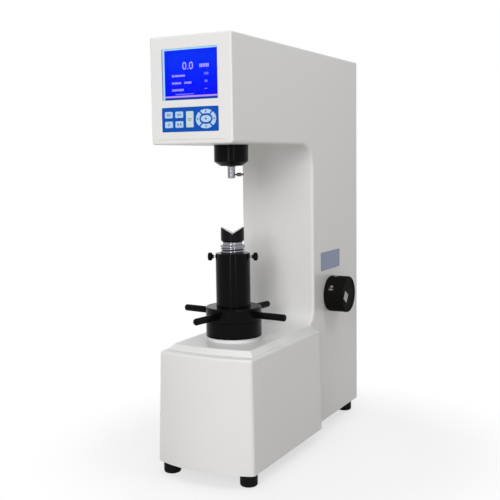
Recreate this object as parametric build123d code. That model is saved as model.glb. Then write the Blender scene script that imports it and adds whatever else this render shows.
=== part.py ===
from build123d import *
from math import cos, radians, sin, sqrt
import os

# Bench hardness tester of the dead-weight kind. All lengths are in millimetres.
# The frame's origin is on the bench, straight under the test axis: the axis that the
# elevating screw, the anvil and the indenter share. +Z is up, +Y runs back to the column,
# and +X is the operator's right.

# ---- Driving dimensions ----

# Body: a C-shaped casting, its covers and the base housing round its lower arm
overall_height = 730.0
overall_rear = 405.0
body_width = 150.0
throat = 177.0
head_front = 129.0
head_split = 70.0
head_height = 171.0
head_bend_radius = 40.0
foot_bend_radius = 30.0
edge_round = 5.0
outer_edge_round = 3.0
rear_edge_round = 1.0
frame_wall = 8.0
column_floor = 10.0
rear_cover_thickness = 4.0
top_cover_thickness = 4.0
top_ledge = 3.0
front_cover_wall = 4.0
crease_rise = 6.0
crease_width = 1.8
crease_depth = 1.5
crease_margin = 14.0
foot_height = 22.0
foot_radius = 14.8
foot_edge = 4.0
foot_edge_inner = 1.2
front_foot_spread = 74.4
front_foot_reach = 92.0
rear_foot_spread = 55.4
rear_foot_reach = 381.0

deck_height = 222.0
deck_half_width = 73.0
deck_front = 86.0
deck_corner = 79.0
deck_edge_round = 1.5
deck_corner_round = 2.5
shoulder_height = 9.0
shoulder_width = 8.0
shoulder_front = 94.0
shoulder_corner = 87.0
shoulder_skirt = 8.0
deck_thickness = 24.0
arm_wall = 12.0
arm_front_bow = 1.0
plate_corner_gap = 1.0
arm_front = 76.0

base_half_width_bottom = 92.5
base_half_width_top = 88.0
base_front_bottom = 126.0
base_corner_bottom = 107.0
base_front_top = 113.5
base_corner_top = 102.5
base_rear = 171.0
base_wall = 5.0
base_corner_round = 7.0
base_rim_round = 5.0
base_plate_thickness = 8.0

# Display and keypad
display_width = 102.4
display_middle_x = -1.6
display_rise = 69.8
display_drop = 20.6
window_thickness = 3.0
window_lap = 4.0
module_thickness = 9.0
keypad_width = 104.4
keypad_height = 38.6
keypad_middle_x = -1.8
keypad_rise = 39.0
overlay_thickness = 1.5
overlay_play = 0.2
keypad_rim = 2.0
key_travel = 0.6
key_proud = 0.8
key_stop_gap = 0.2
key_gap = 0.25
key_flange = 0.6
key_flange_thickness = 1.0
key_round = 1.5
small_key_width = 14.5
small_key_height = 10.0
small_key_x = (-39.0, -19.4)
small_key_z = (7.7, -7.6)
tall_key_width = 13.4
tall_key_height = 25.2
tall_key_x = 0.2
ring_x = 29.8
ring_outer = (18.2, 15.0)
ring_inner = (12.2, 8.4)
ring_slot = 2.6
enter_key = (9.3, 5.4)
board_thickness = 1.6

# Elevating screw, handwheel and anvil
screw_radius = 21.2
screw_travel = 80.0
screw_tail = 20.0
screw_end_chamfer = 2.0
screw_neck_radius = 17.0
screw_neck_length = 5.0
screw_clearance = 1.0
running_gap = 0.05
seat_gap = 0.4
anvil_radius = 20.2
anvil_rise = 170.0
anvil_height = 25.0
anvil_notch_angle = 120.0
anvil_turn = 28.0
anvil_chamfer = 2.5
anvil_foot = 0.6
anvil_notch_edge = 3.5
anvil_relief_width = 1.8
anvil_relief_depth = 0.8
anvil_stem_radius = 8.0
anvil_stem_length = 28.0
anvil_stem_end_gap = 2.0
hub_radius = 48.6
hub_height = 24.0
hub_edge = 1.5
hub_top_wall = 4.0
flange_height = 27.0
flange_gap = 0.5
handle_radius = 6.0
handle_stub_radius = 4.2
handle_reach = 107.3
handle_turn = -7.4
handle_round = 2.5
handle_count = 4
thrust_seat_radius = 45.0
thrust_seat_proud = 6.4
thrust_seat_sunk = 6.0
nut_radius = 30.0
race_thickness = 4.0
roller_radius = 3.8
roller_length = 5.0
roller_count = 10
bearing_play = 0.3
race_bore_gap = 3.0
race_outer_step = 1.0
flange_bore_gap = 3.0
bush_radius = 27.0
bush_length = 56.0
key_width = 8.0
key_depth = 4.0
guide_key_length = 20.0
guide_key_inset = 5.0
sleeve_radius = 30.0
sleeve_below_anvil = 19.0
sleeve_edge = 1.0
sleeve_wall = 4.0
sleeve_collar = 20.0
sleeve_screw_turn = 20.0
sleeve_screw_spread = 180.0
sleeve_screw_drop = 6.6
sleeve_screw_radius = 2.0
sleeve_screw_head_radius = 7.2
sleeve_screw_head_start = 33.8
sleeve_screw_head_end = 44.0
screw_head_edge = 1.0
screw_head_waist = 0.3
screw_head_neck = 0.55

# Spindle, indenter and load train
guard_radius = 29.4
guard_length = 28.6
guard_cone_height = 7.4
guard_cone_radius = 18.4
guard_bore = 13.0
spindle_radius = 11.0
spindle_rise = 66.0
nose_radius = 6.6
nose_gap = 1.5
nose_length = 18.1
nose_shoulder = 3.0
indenter_collar = 1.7
indenter_collar_step = 0.8
indenter_shank_radius = 3.2
indenter_shank_length = 20.0
indenter_ball_radius = 0.8
indenter_screw_rise = 4.8
indenter_screw_radius = 1.4
indenter_screw_reach = 21.0
indenter_screw_turn = 28.0
indenter_screw_head_radius = 3.2
indenter_screw_head_start = 9.1
indenter_screw_head_end = 17.0
indenter_screw_tail_radius = 1.75
spindle_guide_radius = 20.0
spindle_guide_flange = 31.0
spindle_guide_flange_thickness = 6.0
spindle_guide_rise = 48.0
lever_gap = 0.4
lever_arm_short = 20.0
lever_arm_long = 300.0
lever_width = 20.0
lever_depth_front = 30.0
lever_depth_rear = 20.0
lever_overhang = 14.0
lever_fork_web = 2.0
pivot_radius = 5.0
pivot_rise = 16.6
yoke_inner = 32.0
yoke_taper = 6.0
yoke_cap = 12.0
yoke_cheek = 10.0
yoke_length = 28.0
hanger_radius = 5.0
hanger_fork_gap = 0.5
carrier_radius = 30.0
carrier_height = 8.0
carrier_above_selector = 52.3
weight_radius = 58.0
weight_edge = 1.5
weight_heights = (34.0, 26.0, 32.0)
weight_gap = 0.4
cam_radius = 26.0
cam_throw = 3.0
cam_width = 12.0
cam_y = 150.0
cam_shaft_radius = 5.0
motor_radius = 25.0
motor_length = 44.0
motor_gap = 6.0
bracket_thickness = 5.0
encoder_width = 26.0
encoder_length = 22.0
encoder_front = 76.0
encoder_play = 0.3
probe_thickness = 6.0
probe_rise = 4.0

# Test force selector on the column's right side
selector_y = 258.2
selector_z = 269.7
selector_radius = 35.2
selector_face = 114.4
selector_back_gap = 1.6
selector_edge = 2.2
selector_cap = 8.0
selector_dish = 1.2
selector_dish_radius = 31.5
selector_shaft_radius = 7.0
index_ring_radius = 33.0
index_ring_thickness = 1.2
selector_bush_radius = 12.0
selector_bush_length = 18.0
selector_cam_radius = 30.0
selector_cam_rise = 8.0
selector_cam_width = 12.0
selector_cam_x = 26.0
pointer_size = 12.2
pointer_offset = 15.0
pointer_turn = 12.0
pointer_thickness = 1.0
plate_length = 93.0
plate_height = 35.0
plate_thickness = 0.8
plate_corner = 2.0
plate_middle_y = 259.7
plate_middle_z = 336.0

# Electrical pieces at the back
inlet_width = 27.0
inlet_height = 19.5
fitting_rim = 1.5
fitting_flange = 2.0
inlet_depth = 22.0
inlet_socket_depth = 15.0
inlet_x = 14.0
rear_fittings_z = 78.0
switch_width = 13.0
switch_height = 19.5
switch_x = -22.0
switch_well = 8.0
switch_end_wall = 1.0
rocker_swing = 10.0
rocker_pivot_depth = 2.0
rocker_back = 3.0
rocker_face = 3.5
rocker_hollow = 1.2
rocker_end_gap = 2.4
rocker_side_wall = 2.0
supply_size = (96.0, 44.0, 120.0)
supply_bottom = 120.0
main_board_size = (100.0, 140.0)
main_board_middle_z = 500.0
standoff_length = 10.0
standoff_radius = 4.0
standoff_inset = 8.0

# How far a cut runs past the piece it cuts
over = 1.0

# ---- Dependent dimensions ----

half_width = body_width / 2
head_underside = overall_height - head_height
frame_rear = overall_rear - rear_cover_thickness
cavity_half = half_width - frame_wall
cavity_front = throat + frame_wall
head_floor = head_underside + frame_wall
deck_bottom = deck_height - deck_thickness
base_bottom = foot_height
base_top = deck_height - shoulder_height
arm_rear = base_rear - base_wall - plate_corner_gap
plate_top = base_bottom + base_plate_thickness
seat_bottom = deck_height - thrust_seat_sunk
flange_bottom = deck_height + thrust_seat_proud
flange_top = flange_bottom + flange_height
hub_bottom = flange_top + flange_gap
hub_top = hub_bottom + hub_height
handle_z = hub_bottom + hub_height / 2
front_wall_back = -head_front + front_cover_wall
display_height = head_height - display_rise - display_drop
display_middle_z = head_underside + display_rise + display_height / 2
keypad_middle_z = head_underside + keypad_rise
anvil_bottom = deck_height + anvil_rise
anvil_top = anvil_bottom + anvil_height
screw_shoulder = anvil_bottom - screw_neck_length
screw_bottom = seat_bottom - bush_length - screw_travel - screw_tail
sleeve_top = anvil_bottom - sleeve_below_anvil
handle_stub_start = nut_radius + 2 * screw_clearance
guard_bottom = head_underside - guard_length
guard_cone_bottom = guard_bottom - guard_cone_height
nose_top = guard_cone_bottom - nose_gap
nose_bottom = nose_top - nose_length
indenter_screw_height = nose_bottom + indenter_screw_rise
spindle_top = head_floor + spindle_rise
spindle_guide_top = head_floor + spindle_guide_rise
spindle_guide_bore = spindle_radius + running_gap
lever_bottom = spindle_top + lever_gap
probe_bottom = spindle_guide_top + probe_rise
pivot_height = lever_bottom + pivot_rise
hanger_pin_z = lever_bottom + lever_depth_rear / 2
carrier_bottom = selector_z + carrier_above_selector
hanger_y = lever_arm_long - lever_arm_short
cam_z = lever_bottom - lever_gap - cam_radius - cam_throw
motor_start = cam_width / 2 + motor_gap + bracket_thickness
selector_shaft_end = selector_face - selector_cap


# ---- Shapes that many pieces share ----

def block(x_range, y_range, z_range):
    low = (x_range[0], y_range[0], z_range[0])
    size = (x_range[1] - x_range[0], y_range[1] - y_range[0], z_range[1] - z_range[0])
    return Pos(*low) * Box(*size, align=(Align.MIN, Align.MIN, Align.MIN))


def post(radius, bottom, top, x=0.0, y=0.0):
    return Pos(x, y, bottom) * Cylinder(radius, top - bottom, align=(Align.CENTER, Align.CENTER, Align.MIN))


def bar_x(radius, start, end, y, z):
    return Pos(start, y, z) * Rot(0, 90, 0) * Cylinder(
        radius, end - start, align=(Align.CENTER, Align.CENTER, Align.MIN))


def bar_y(radius, start, end, x, z):
    return Pos(x, start, z) * Rot(-90, 0, 0) * Cylinder(
        radius, end - start, align=(Align.CENTER, Align.CENTER, Align.MIN))


def turned(points):
    """A piece turned about the test axis from its half section of (radius, height) points."""
    return revolve(Plane.XZ * make_face(Polyline(*points, close=True)), Axis.Z)


def side_profile(points):
    """A face in the plane of symmetry from (y, z) points."""
    return Plane.YZ * make_face(Polyline(*points, close=True))


def along_x(face, width, middle=0.0):
    return Pos(middle, 0, 0) * extrude(face, width / 2, both=True)


def on_front(sketch, depth, front=-head_front):
    """A flat piece parallel to the head's front: drawn in x and z, and this deep towards the back."""
    return extrude(Plane((0, front, 0), x_dir=(1, 0, 0), z_dir=(0, -1, 0)) * sketch, -depth)


def bowed_outline(half, corner, apex, rear, z, corner_round=0.0):
    """A plan with straight sides and back, and a front that bows out to the apex."""
    edges = [
        Line((half, -corner), (half, rear)),
        Line((half, rear), (-half, rear)),
        Line((-half, rear), (-half, -corner)),
        ThreePointArc((-half, -corner), (0, -apex), (half, -corner)),
    ]
    face = make_face(edges)
    if corner_round > 0:
        front_corners = face.vertices().group_by(Axis.Y)[0]
        face = fillet(front_corners, corner_round)
    return Pos(0, 0, z) * face


# ---- Body ----

def throat_edges(casting):
    """The long edges on both sides that run under the head, down the column and over the arm."""
    def on_throat(edge):
        middle = edge.center()
        beside = abs(abs(middle.X) - half_width) < 0.01
        inside = deck_height - 0.1 < middle.Z < head_underside + 0.1
        return beside and inside and -arm_front + over < middle.Y < throat + 0.1
    return casting.edges().filter_by(on_throat)


def deck():
    shoulder_half = deck_half_width + shoulder_width
    shoulder_foot = deck_height - shoulder_height
    skirt = bowed_outline(shoulder_half, shoulder_corner, shoulder_front, base_rear,
                          shoulder_foot - shoulder_skirt, deck_corner_round)
    foot = bowed_outline(shoulder_half, shoulder_corner, shoulder_front, base_rear, shoulder_foot,
                         deck_corner_round)
    top = bowed_outline(deck_half_width, deck_corner, deck_front, base_rear, deck_height, deck_corner_round)
    slab = extrude(skirt, shoulder_skirt) + loft([foot, top])
    rim = slab.faces().sort_by(Axis.Z)[-1].edges().filter_by(lambda e: e.center().Y < base_rear - 0.1)
    slab = fillet(rim, deck_edge_round)
    under = bowed_outline(half_width, arm_front, arm_front + arm_front_bow, base_rear, deck_bottom)
    return slab + extrude(under, shoulder_foot - shoulder_skirt - deck_bottom)


def main_frame():
    outline = side_profile([
        (-head_split, head_underside), (throat, head_underside), (throat, deck_height),
        (-arm_front, deck_height), (-arm_front, plate_top), (arm_rear, plate_top),
        (arm_rear, base_bottom), (frame_rear, base_bottom),
        (frame_rear, overall_height), (-head_split, overall_height)])
    bends = outline.vertices().filter_by(lambda v: abs(v.Y - throat) < 0.01)
    outline = fillet(bends.sort_by(Axis.Z)[-1], head_bend_radius)
    bends = outline.vertices().filter_by(lambda v: abs(v.Y - throat) < 0.01)
    outline = fillet(bends.sort_by(Axis.Z)[0], foot_bend_radius)
    casting = along_x(outline, body_width)
    casting = fillet(throat_edges(casting), edge_round)
    top_edges = casting.edges().filter_by(
        lambda e: abs(e.center().Z - overall_height) < 0.01 and abs(abs(e.center().X) - half_width) < 0.01)
    casting = fillet(top_edges, outer_edge_round)
    # the lower arm widens into a deck with a sloping shoulder, which closes the base housing
    casting += deck()
    # hollow head and column, open at the top, the front of the head and the back
    hollow = side_profile([
        (-head_split - over, head_floor), (cavity_front, head_floor),
        (cavity_front, base_bottom + column_floor), (frame_rear + over, base_bottom + column_floor),
        (frame_rear + over, overall_height + over), (-head_split - over, overall_height + over)])
    casting -= along_x(hollow, 2 * cavity_half)
    ledge_half = cavity_half + top_ledge
    casting -= block((-ledge_half, ledge_half), (-head_split - over, frame_rear + over),
                     (overall_height - top_cover_thickness, overall_height + over))
    # the arm is cored out from below, and a boss carries the screw's guide bush
    arm_half = half_width - arm_wall
    casting -= block((-arm_half, arm_half), (-arm_front + arm_wall, arm_rear - arm_wall),
                     (plate_top - over, deck_bottom))
    boss_bottom = seat_bottom - bush_length
    casting += post(bush_radius + arm_wall, boss_bottom, deck_bottom + over)
    casting -= post(bush_radius + running_gap, boss_bottom - over, seat_bottom + over)
    casting -= post(thrust_seat_radius + running_gap, seat_bottom, deck_height + over)
    # ways through the head's floor and the column's side for the spindle and the selector
    casting -= post(spindle_guide_radius + running_gap, head_underside - over, head_floor + over)
    casting -= bar_x(selector_bush_radius + running_gap, cavity_half - over, half_width + over, selector_y,
                     selector_z)
    return casting


def base_section(z, inset=0.0):
    """The base housing's plan at this height, the same plan moved in by the inset."""
    share = (z - base_bottom) / (base_top - base_bottom)
    half = base_half_width_bottom + (base_half_width_top - base_half_width_bottom) * share
    corner = base_corner_bottom + (base_corner_top - base_corner_bottom) * share
    apex = base_front_bottom + (base_front_top - base_front_bottom) * share
    return bowed_outline(half - inset, corner - inset, apex - inset, base_rear - inset, z, base_corner_round)


def base_housing():
    shell = loft([base_section(base_bottom), base_section(base_top)])
    top_rim = shell.faces().sort_by(Axis.Z)[-1].edges()
    shell = fillet(top_rim, base_rim_round)
    shell -= loft([base_section(base_bottom - over, base_wall),
                   base_section(base_top - base_wall, base_wall)])
    # the top and the back are open for the casting's arm and column
    opening_bottom = base_top - shoulder_skirt - seat_gap
    opening = bowed_outline(deck_half_width + shoulder_width + seat_gap, shoulder_corner + seat_gap,
                            shoulder_front + seat_gap, base_rear + over, opening_bottom, deck_corner_round)
    shell -= extrude(opening, base_top - opening_bottom + over)
    column_half = half_width + seat_gap
    shell -= block((-column_half, column_half), (0, base_rear + over), (base_bottom - over, base_top + over))
    return shell


def base_plate():
    plan = base_section(plate_top, base_wall + seat_gap)
    plate = extrude(plan, -base_plate_thickness)
    stop = arm_rear - seat_gap
    plate -= block((-base_half_width_bottom, base_half_width_bottom), (stop, base_rear + over),
                   (base_bottom - over, plate_top + over))
    return plate


def foot(x, y):
    half_section = [
        (0, 0), (foot_radius - foot_edge, 0), (foot_radius - foot_edge_inner, foot_edge_inner),
        (foot_radius, foot_edge), (foot_radius, foot_height - foot_edge),
        (foot_radius - foot_edge_inner, foot_height - foot_edge_inner), (foot_radius - foot_edge,
                                                                         foot_height),
        (0, foot_height)]
    return Pos(x, y, 0) * turned(half_section)


def head_front_cover():
    cover = block((-half_width, half_width), (-head_front, -head_split), (head_underside, overall_height))
    lower_sides = cover.edges().filter_by(Axis.Y).group_by(Axis.Z)[0]
    cover = fillet(lower_sides, edge_round)
    upper_sides = cover.edges().filter_by(Axis.Y).group_by(Axis.Z)[-1]
    front_rim = cover.faces().sort_by(Axis.Y)[0].edges()
    cover = fillet(upper_sides + front_rim, outer_edge_round)
    wall = front_cover_wall
    cover -= block((-half_width + wall, half_width - wall), (front_wall_back, -head_split + over),
                   (head_underside + edge_round + over, overall_height - wall))
    crease_half = half_width - crease_margin
    crease_z = head_underside + crease_rise
    cover -= block((-crease_half, crease_half), (-head_front - over, -head_front + crease_depth),
                   (crease_z, crease_z + crease_width))
    cover -= block((display_middle_x - display_width / 2, display_middle_x + display_width / 2),
                   (-head_front - over, front_wall_back + over),
                   (display_middle_z - display_height / 2, display_middle_z + display_height / 2))
    place = Pos(keypad_middle_x, keypad_middle_z)
    pocket = Pos(0, -1, 0) * on_front(place * RectangleRounded(
        keypad_width + overlay_play, keypad_height + overlay_play, key_round), overlay_thickness + over)
    back_way = on_front(place * Rectangle(keypad_width - 2 * keypad_rim, keypad_height - 2 * keypad_rim),
                        front_cover_wall + over)
    return cover - pocket - back_way


def top_cover():
    half = cavity_half + top_ledge - seat_gap
    return block((-half, half), (-head_split, frame_rear), (overall_height - top_cover_thickness,
                                                            overall_height))


def rear_cover():
    cover = block((-half_width, half_width), (frame_rear, overall_rear), (base_bottom, overall_height))
    cover = fillet(cover.edges().filter_by(Axis.Y), rear_edge_round)
    half_h = inlet_height / 2
    cover -= block((inlet_x - inlet_width / 2 - seat_gap, inlet_x + inlet_width / 2 + seat_gap),
                   (frame_rear - over, overall_rear + over),
                   (rear_fittings_z - half_h - seat_gap, rear_fittings_z + half_h + seat_gap))
    cover -= block((switch_x - switch_width / 2 - seat_gap, switch_x + switch_width / 2 + seat_gap),
                   (frame_rear - over, overall_rear + over),
                   (rear_fittings_z - half_h - seat_gap, rear_fittings_z + half_h + seat_gap))
    return cover


def side_plate():
    plate = block((half_width, half_width + plate_thickness),
                  (plate_middle_y - plate_length / 2, plate_middle_y + plate_length / 2),
                  (plate_middle_z - plate_height / 2, plate_middle_z + plate_height / 2))
    return fillet(plate.edges().filter_by(Axis.X), plate_corner)


# ---- Display and keypad ----

def display_face():
    """The outline that the window and the display share. It laps over the opening's edges."""
    return Pos(display_middle_x, display_middle_z) * Rectangle(
        display_width + 2 * window_lap, display_height + 2 * window_lap)


def display_window():
    return on_front(display_face(), window_thickness, front_wall_back)


def display_module():
    return on_front(display_face(), module_thickness, front_wall_back + window_thickness)


def small_key_faces():
    faces = {}
    names = (("key_upper_left", "key_upper_right"), ("key_lower_left", "key_lower_right"))
    for row, z in enumerate(small_key_z):
        for column, x in enumerate(small_key_x):
            faces[names[row][column]] = (Pos(x, z), small_key_width, small_key_height)
    faces["key_tall"] = (Pos(tall_key_x, 0), tall_key_width, tall_key_height)
    return faces


def ring_faces(grow=0.0):
    """The four curved keys of the cursor ring, each a quarter of an oval ring."""
    ring = Ellipse(ring_outer[0] + grow, ring_outer[1] + grow) - Ellipse(ring_inner[0] - grow,
                                                                         ring_inner[1] - grow)
    slot = ring_slot - 2 * grow
    diagonal = 4 * ring_outer[0]
    cross = Rot(0, 0, 45) * Rectangle(diagonal, slot) + Rot(0, 0, -45) * Rectangle(diagonal, slot)
    quarters = (ring - cross).faces()
    return {
        "key_up": quarters.sort_by(Axis.Y)[-1],
        "key_down": quarters.sort_by(Axis.Y)[0],
        "key_right": quarters.sort_by(Axis.X)[-1],
        "key_left": quarters.sort_by(Axis.X)[0],
    }


def key_faces(grow=0.0):
    faces = {}
    for name, (place, width, height) in small_key_faces().items():
        faces[name] = place * RectangleRounded(width + 2 * grow, height + 2 * grow, key_round + grow)
    for name, face in ring_faces(grow).items():
        faces[name] = Pos(ring_x, 0) * face
    faces["key_enter"] = Pos(ring_x, 0) * Ellipse(enter_key[0] + grow, enter_key[1] + grow)
    middle = Pos(keypad_middle_x, keypad_middle_z)
    return {name: middle * face for name, face in faces.items()}


def keypad_overlay():
    overlay = on_front(Pos(keypad_middle_x, keypad_middle_z) * RectangleRounded(
        keypad_width, keypad_height, key_round), overlay_thickness)
    for face in key_faces(key_gap).values():
        overlay -= Pos(0, -1, 0) * on_front(face, overlay_thickness + 2 * over)
    return overlay


def keys():
    """Each key stands proud of the overlay, and a flange behind the overlay keeps it in."""
    front = -head_front - key_proud
    length = front_wall_back - key_travel - key_stop_gap - front
    flange_front = -head_front + overlay_thickness + seat_gap
    flanges = key_faces(key_flange)
    return {name: on_front(face, length, front) + on_front(flanges[name], key_flange_thickness, flange_front)
            for name, face in key_faces().items()}


def keypad_board():
    outline = Pos(keypad_middle_x, keypad_middle_z) * Rectangle(keypad_width, keypad_height)
    return on_front(outline, board_thickness, front_wall_back)


# ---- Elevating screw, handwheel and anvil ----

def elevating_screw():
    screw = turned([(0, screw_bottom), (screw_radius - screw_end_chamfer, screw_bottom),
                    (screw_radius, screw_bottom + screw_end_chamfer),
                    (screw_radius, screw_shoulder), (screw_neck_radius, screw_shoulder),
                    (screw_neck_radius, anvil_bottom), (0, anvil_bottom)])
    screw -= post(anvil_stem_radius + running_gap, anvil_bottom - anvil_stem_length - anvil_stem_end_gap,
                  anvil_bottom + over)
    slot_half = key_width / 2 + running_gap
    screw -= block((-slot_half, slot_half), (screw_radius - key_depth, screw_radius + over),
                   (screw_bottom - over, seat_bottom))
    return screw


def v_anvil():
    anvil = turned([(0, anvil_bottom), (screw_neck_radius, anvil_bottom),
                    (anvil_radius - anvil_chamfer, anvil_bottom + anvil_foot),
                    (anvil_radius, anvil_bottom + anvil_foot + anvil_chamfer), (anvil_radius, anvil_top),
                    (0, anvil_top)])
    shoulder = anvil_radius - anvil_notch_edge
    depth = shoulder / sin(radians(anvil_notch_angle / 2)) * cos(radians(anvil_notch_angle / 2))
    notch = make_face(Polyline((-shoulder, anvil_top), (0, anvil_top - depth), (shoulder, anvil_top),
                               (shoulder, anvil_top + over), (-shoulder, anvil_top + over), close=True))
    anvil -= extrude(Plane.XZ * notch, anvil_radius + over, both=True)
    relief_half = anvil_relief_width / 2
    anvil -= block((-relief_half, relief_half), (-anvil_radius - over, anvil_radius + over),
                   (anvil_top - depth - anvil_relief_depth, anvil_top))
    anvil += post(anvil_stem_radius, anvil_bottom - anvil_stem_length, anvil_bottom + over)
    return Rot(0, 0, anvil_turn) * anvil


def dust_sleeve():
    bottom = hub_top + seat_gap
    bore = screw_radius + seat_gap
    wide = sleeve_radius - sleeve_wall
    sleeve = turned([(wide, bottom), (sleeve_radius, bottom), (sleeve_radius, sleeve_top - sleeve_edge),
                     (sleeve_radius - sleeve_edge, sleeve_top), (bore, sleeve_top),
                     (bore, sleeve_top - sleeve_collar), (wide, sleeve_top - sleeve_collar)])
    hole = bar_x(sleeve_screw_radius + running_gap, -sleeve_radius - over, sleeve_radius + over, 0,
                 sleeve_top - sleeve_screw_drop)
    return sleeve - Rot(0, 0, sleeve_screw_turn) * hole


def thumb_screw(tip, shank_radius, head_radius, head_start, head_end, height, turn):
    """A small screw with a turned head. It lies flat and points at the test axis."""
    waist = head_start + (head_end - head_start) * screw_head_waist
    profile = make_face(Polyline(
        (tip, 0), (tip, shank_radius), (head_start, shank_radius), (head_start,
                                                                    head_radius * screw_head_neck),
        (waist, head_radius), (head_end - screw_head_edge, head_radius),
        (head_end, head_radius - screw_head_edge), (head_end, 0), close=True))
    return Pos(0, 0, height) * Rot(0, 0, turn) * revolve(profile, Axis.X)


def sleeve_screw(turn):
    return thumb_screw(screw_radius + running_gap, sleeve_screw_radius, sleeve_screw_head_radius,
                       sleeve_screw_head_start, sleeve_screw_head_end, sleeve_top - sleeve_screw_drop, turn)


def handwheel_hub():
    hub = turned([(nut_radius, hub_bottom), (hub_radius, hub_bottom), (hub_radius, hub_top - hub_edge),
                  (hub_radius - hub_edge, hub_top), (screw_radius + screw_clearance, hub_top),
                  (screw_radius + screw_clearance, hub_top - hub_top_wall), (nut_radius,
                                                                             hub_top - hub_top_wall)])
    for turn in handle_turns():
        hole = bar_x(handle_stub_radius, handle_stub_start, hub_radius + over, 0, handle_z)
        hub -= Rot(0, 0, turn) * hole
    return hub


def handle_turns():
    return [handle_turn + 360 / handle_count * index for index in range(handle_count)]


def handwheel_handle(turn):
    """A round rod with a thinner end that screws into the hub."""
    profile = make_face(Polyline(
        (handle_stub_start, 0), (handle_stub_start, handle_stub_radius), (hub_radius, handle_stub_radius),
        (hub_radius, handle_radius),
        (handle_reach - handle_round, handle_radius), (handle_reach, handle_radius - handle_round),
        (handle_reach, 0), close=True))
    return Pos(0, 0, handle_z) * Rot(0, 0, turn) * revolve(profile, Axis.X)


def elevating_nut():
    bottom = flange_bottom + 2 * race_thickness + 2 * roller_radius + bearing_play
    top = hub_top - hub_top_wall
    return post(nut_radius, bottom, top) - post(screw_radius + running_gap, bottom - over, top + over)


def thrust_bearing():
    """Two races and the ring of rollers between them. The rollers ride with the lower race."""
    bore = screw_radius + race_bore_gap
    outer = nut_radius + race_outer_step
    lower_top = flange_bottom + race_thickness
    upper_bottom = lower_top + 2 * roller_radius + bearing_play
    upper_top = upper_bottom + race_thickness
    lower = post(outer, flange_bottom, lower_top) - post(bore, flange_bottom - over, lower_top + over)
    start = (bore + outer - roller_length) / 2
    roller = bar_x(roller_radius, start, start + roller_length, 0, lower_top + roller_radius)
    rollers = [Rot(0, 0, 360 / roller_count * index) * roller for index in range(roller_count)]
    upper = post(outer, upper_bottom, upper_top) - post(bore, upper_bottom - over, upper_top + over)
    return lower, rollers, upper


def handwheel_flange():
    """The fixed collar under the handwheel. Its bore clears the turning races and nut."""
    bore = nut_radius + flange_bore_gap
    return turned([(bore, flange_bottom), (hub_radius, flange_bottom), (hub_radius, flange_top),
                   (bore, flange_top)])


def thrust_seat():
    ring = post(thrust_seat_radius, seat_bottom, flange_bottom)
    return ring - post(screw_radius + screw_clearance, seat_bottom - over, flange_bottom + over)


def screw_guide_bush():
    bottom = seat_bottom - bush_length
    bush = post(bush_radius, bottom, seat_bottom) - post(screw_radius + running_gap, bottom - over,
                                                         seat_bottom + over)
    # a key in the bore runs in the screw's keyway and stops the screw from turning
    key_bottom = bottom + guide_key_inset
    return bush + block((-key_width / 2, key_width / 2), (screw_radius - key_depth + seat_gap / 2,
                                                          screw_radius + over),
                        (key_bottom, key_bottom + guide_key_length))


# ---- Spindle, indenter and load train ----

def spindle_guard():
    return turned([(guard_bore, guard_cone_bottom), (guard_cone_radius, guard_cone_bottom),
                   (guard_radius, guard_bottom), (guard_radius, head_underside),
                   (guard_bore, head_underside)])


def spindle_guide():
    bore = spindle_guide_bore
    flange_top_z = head_floor + spindle_guide_flange_thickness
    return turned([(bore, head_underside), (spindle_guide_radius, head_underside),
                   (spindle_guide_radius, head_floor), (spindle_guide_flange, head_floor),
                   (spindle_guide_flange, flange_top_z), (spindle_guide_radius, flange_top_z),
                   (spindle_guide_radius, spindle_guide_top), (bore, spindle_guide_top)])


def spindle():
    body = turned([(0, nose_bottom), (nose_radius, nose_bottom), (nose_radius, nose_top),
                   (spindle_radius, nose_top + nose_shoulder), (spindle_radius, spindle_top), (0,
                                                                                               spindle_top)])
    body -= post(indenter_shank_radius + running_gap, nose_bottom - over,
                 nose_bottom + indenter_shank_length + over)
    hole = bar_x(indenter_screw_radius + running_gap, 0, nose_radius + over, 0, indenter_screw_height)
    body -= Rot(0, 0, indenter_screw_turn) * hole
    # the probe arm that carries the spindle's movement forward to the depth encoder
    body += block((-probe_thickness, probe_thickness), (-encoder_front + probe_thickness, 0),
                  (probe_bottom, probe_bottom + probe_thickness))
    return body


def indenter():
    collar = post(nose_radius - indenter_collar_step, nose_bottom - indenter_collar, nose_bottom)
    shank = post(indenter_shank_radius, nose_bottom - indenter_collar / 2,
                 nose_bottom + indenter_shank_length)
    ball = Pos(0, 0, nose_bottom - indenter_collar) * Sphere(indenter_ball_radius)
    return collar + shank + ball


def indenter_screw():
    profile = make_face(Polyline(
        (indenter_shank_radius + running_gap, 0), (indenter_shank_radius + running_gap,
                                                   indenter_screw_radius),
        (indenter_screw_head_start, indenter_screw_radius), (indenter_screw_head_start,
                                                             indenter_screw_head_radius),
        (indenter_screw_head_end, indenter_screw_head_radius), (indenter_screw_head_end,
                                                                indenter_screw_tail_radius),
        (indenter_screw_reach, indenter_screw_tail_radius), (indenter_screw_reach, 0), close=True))
    return Pos(0, 0, indenter_screw_height) * Rot(0, 0, indenter_screw_turn) * revolve(profile, Axis.X)


def depth_encoder():
    return block((-encoder_width / 2, encoder_width / 2), (-encoder_front, -encoder_front + encoder_length),
                 (head_floor, probe_bottom - encoder_play))


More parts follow.
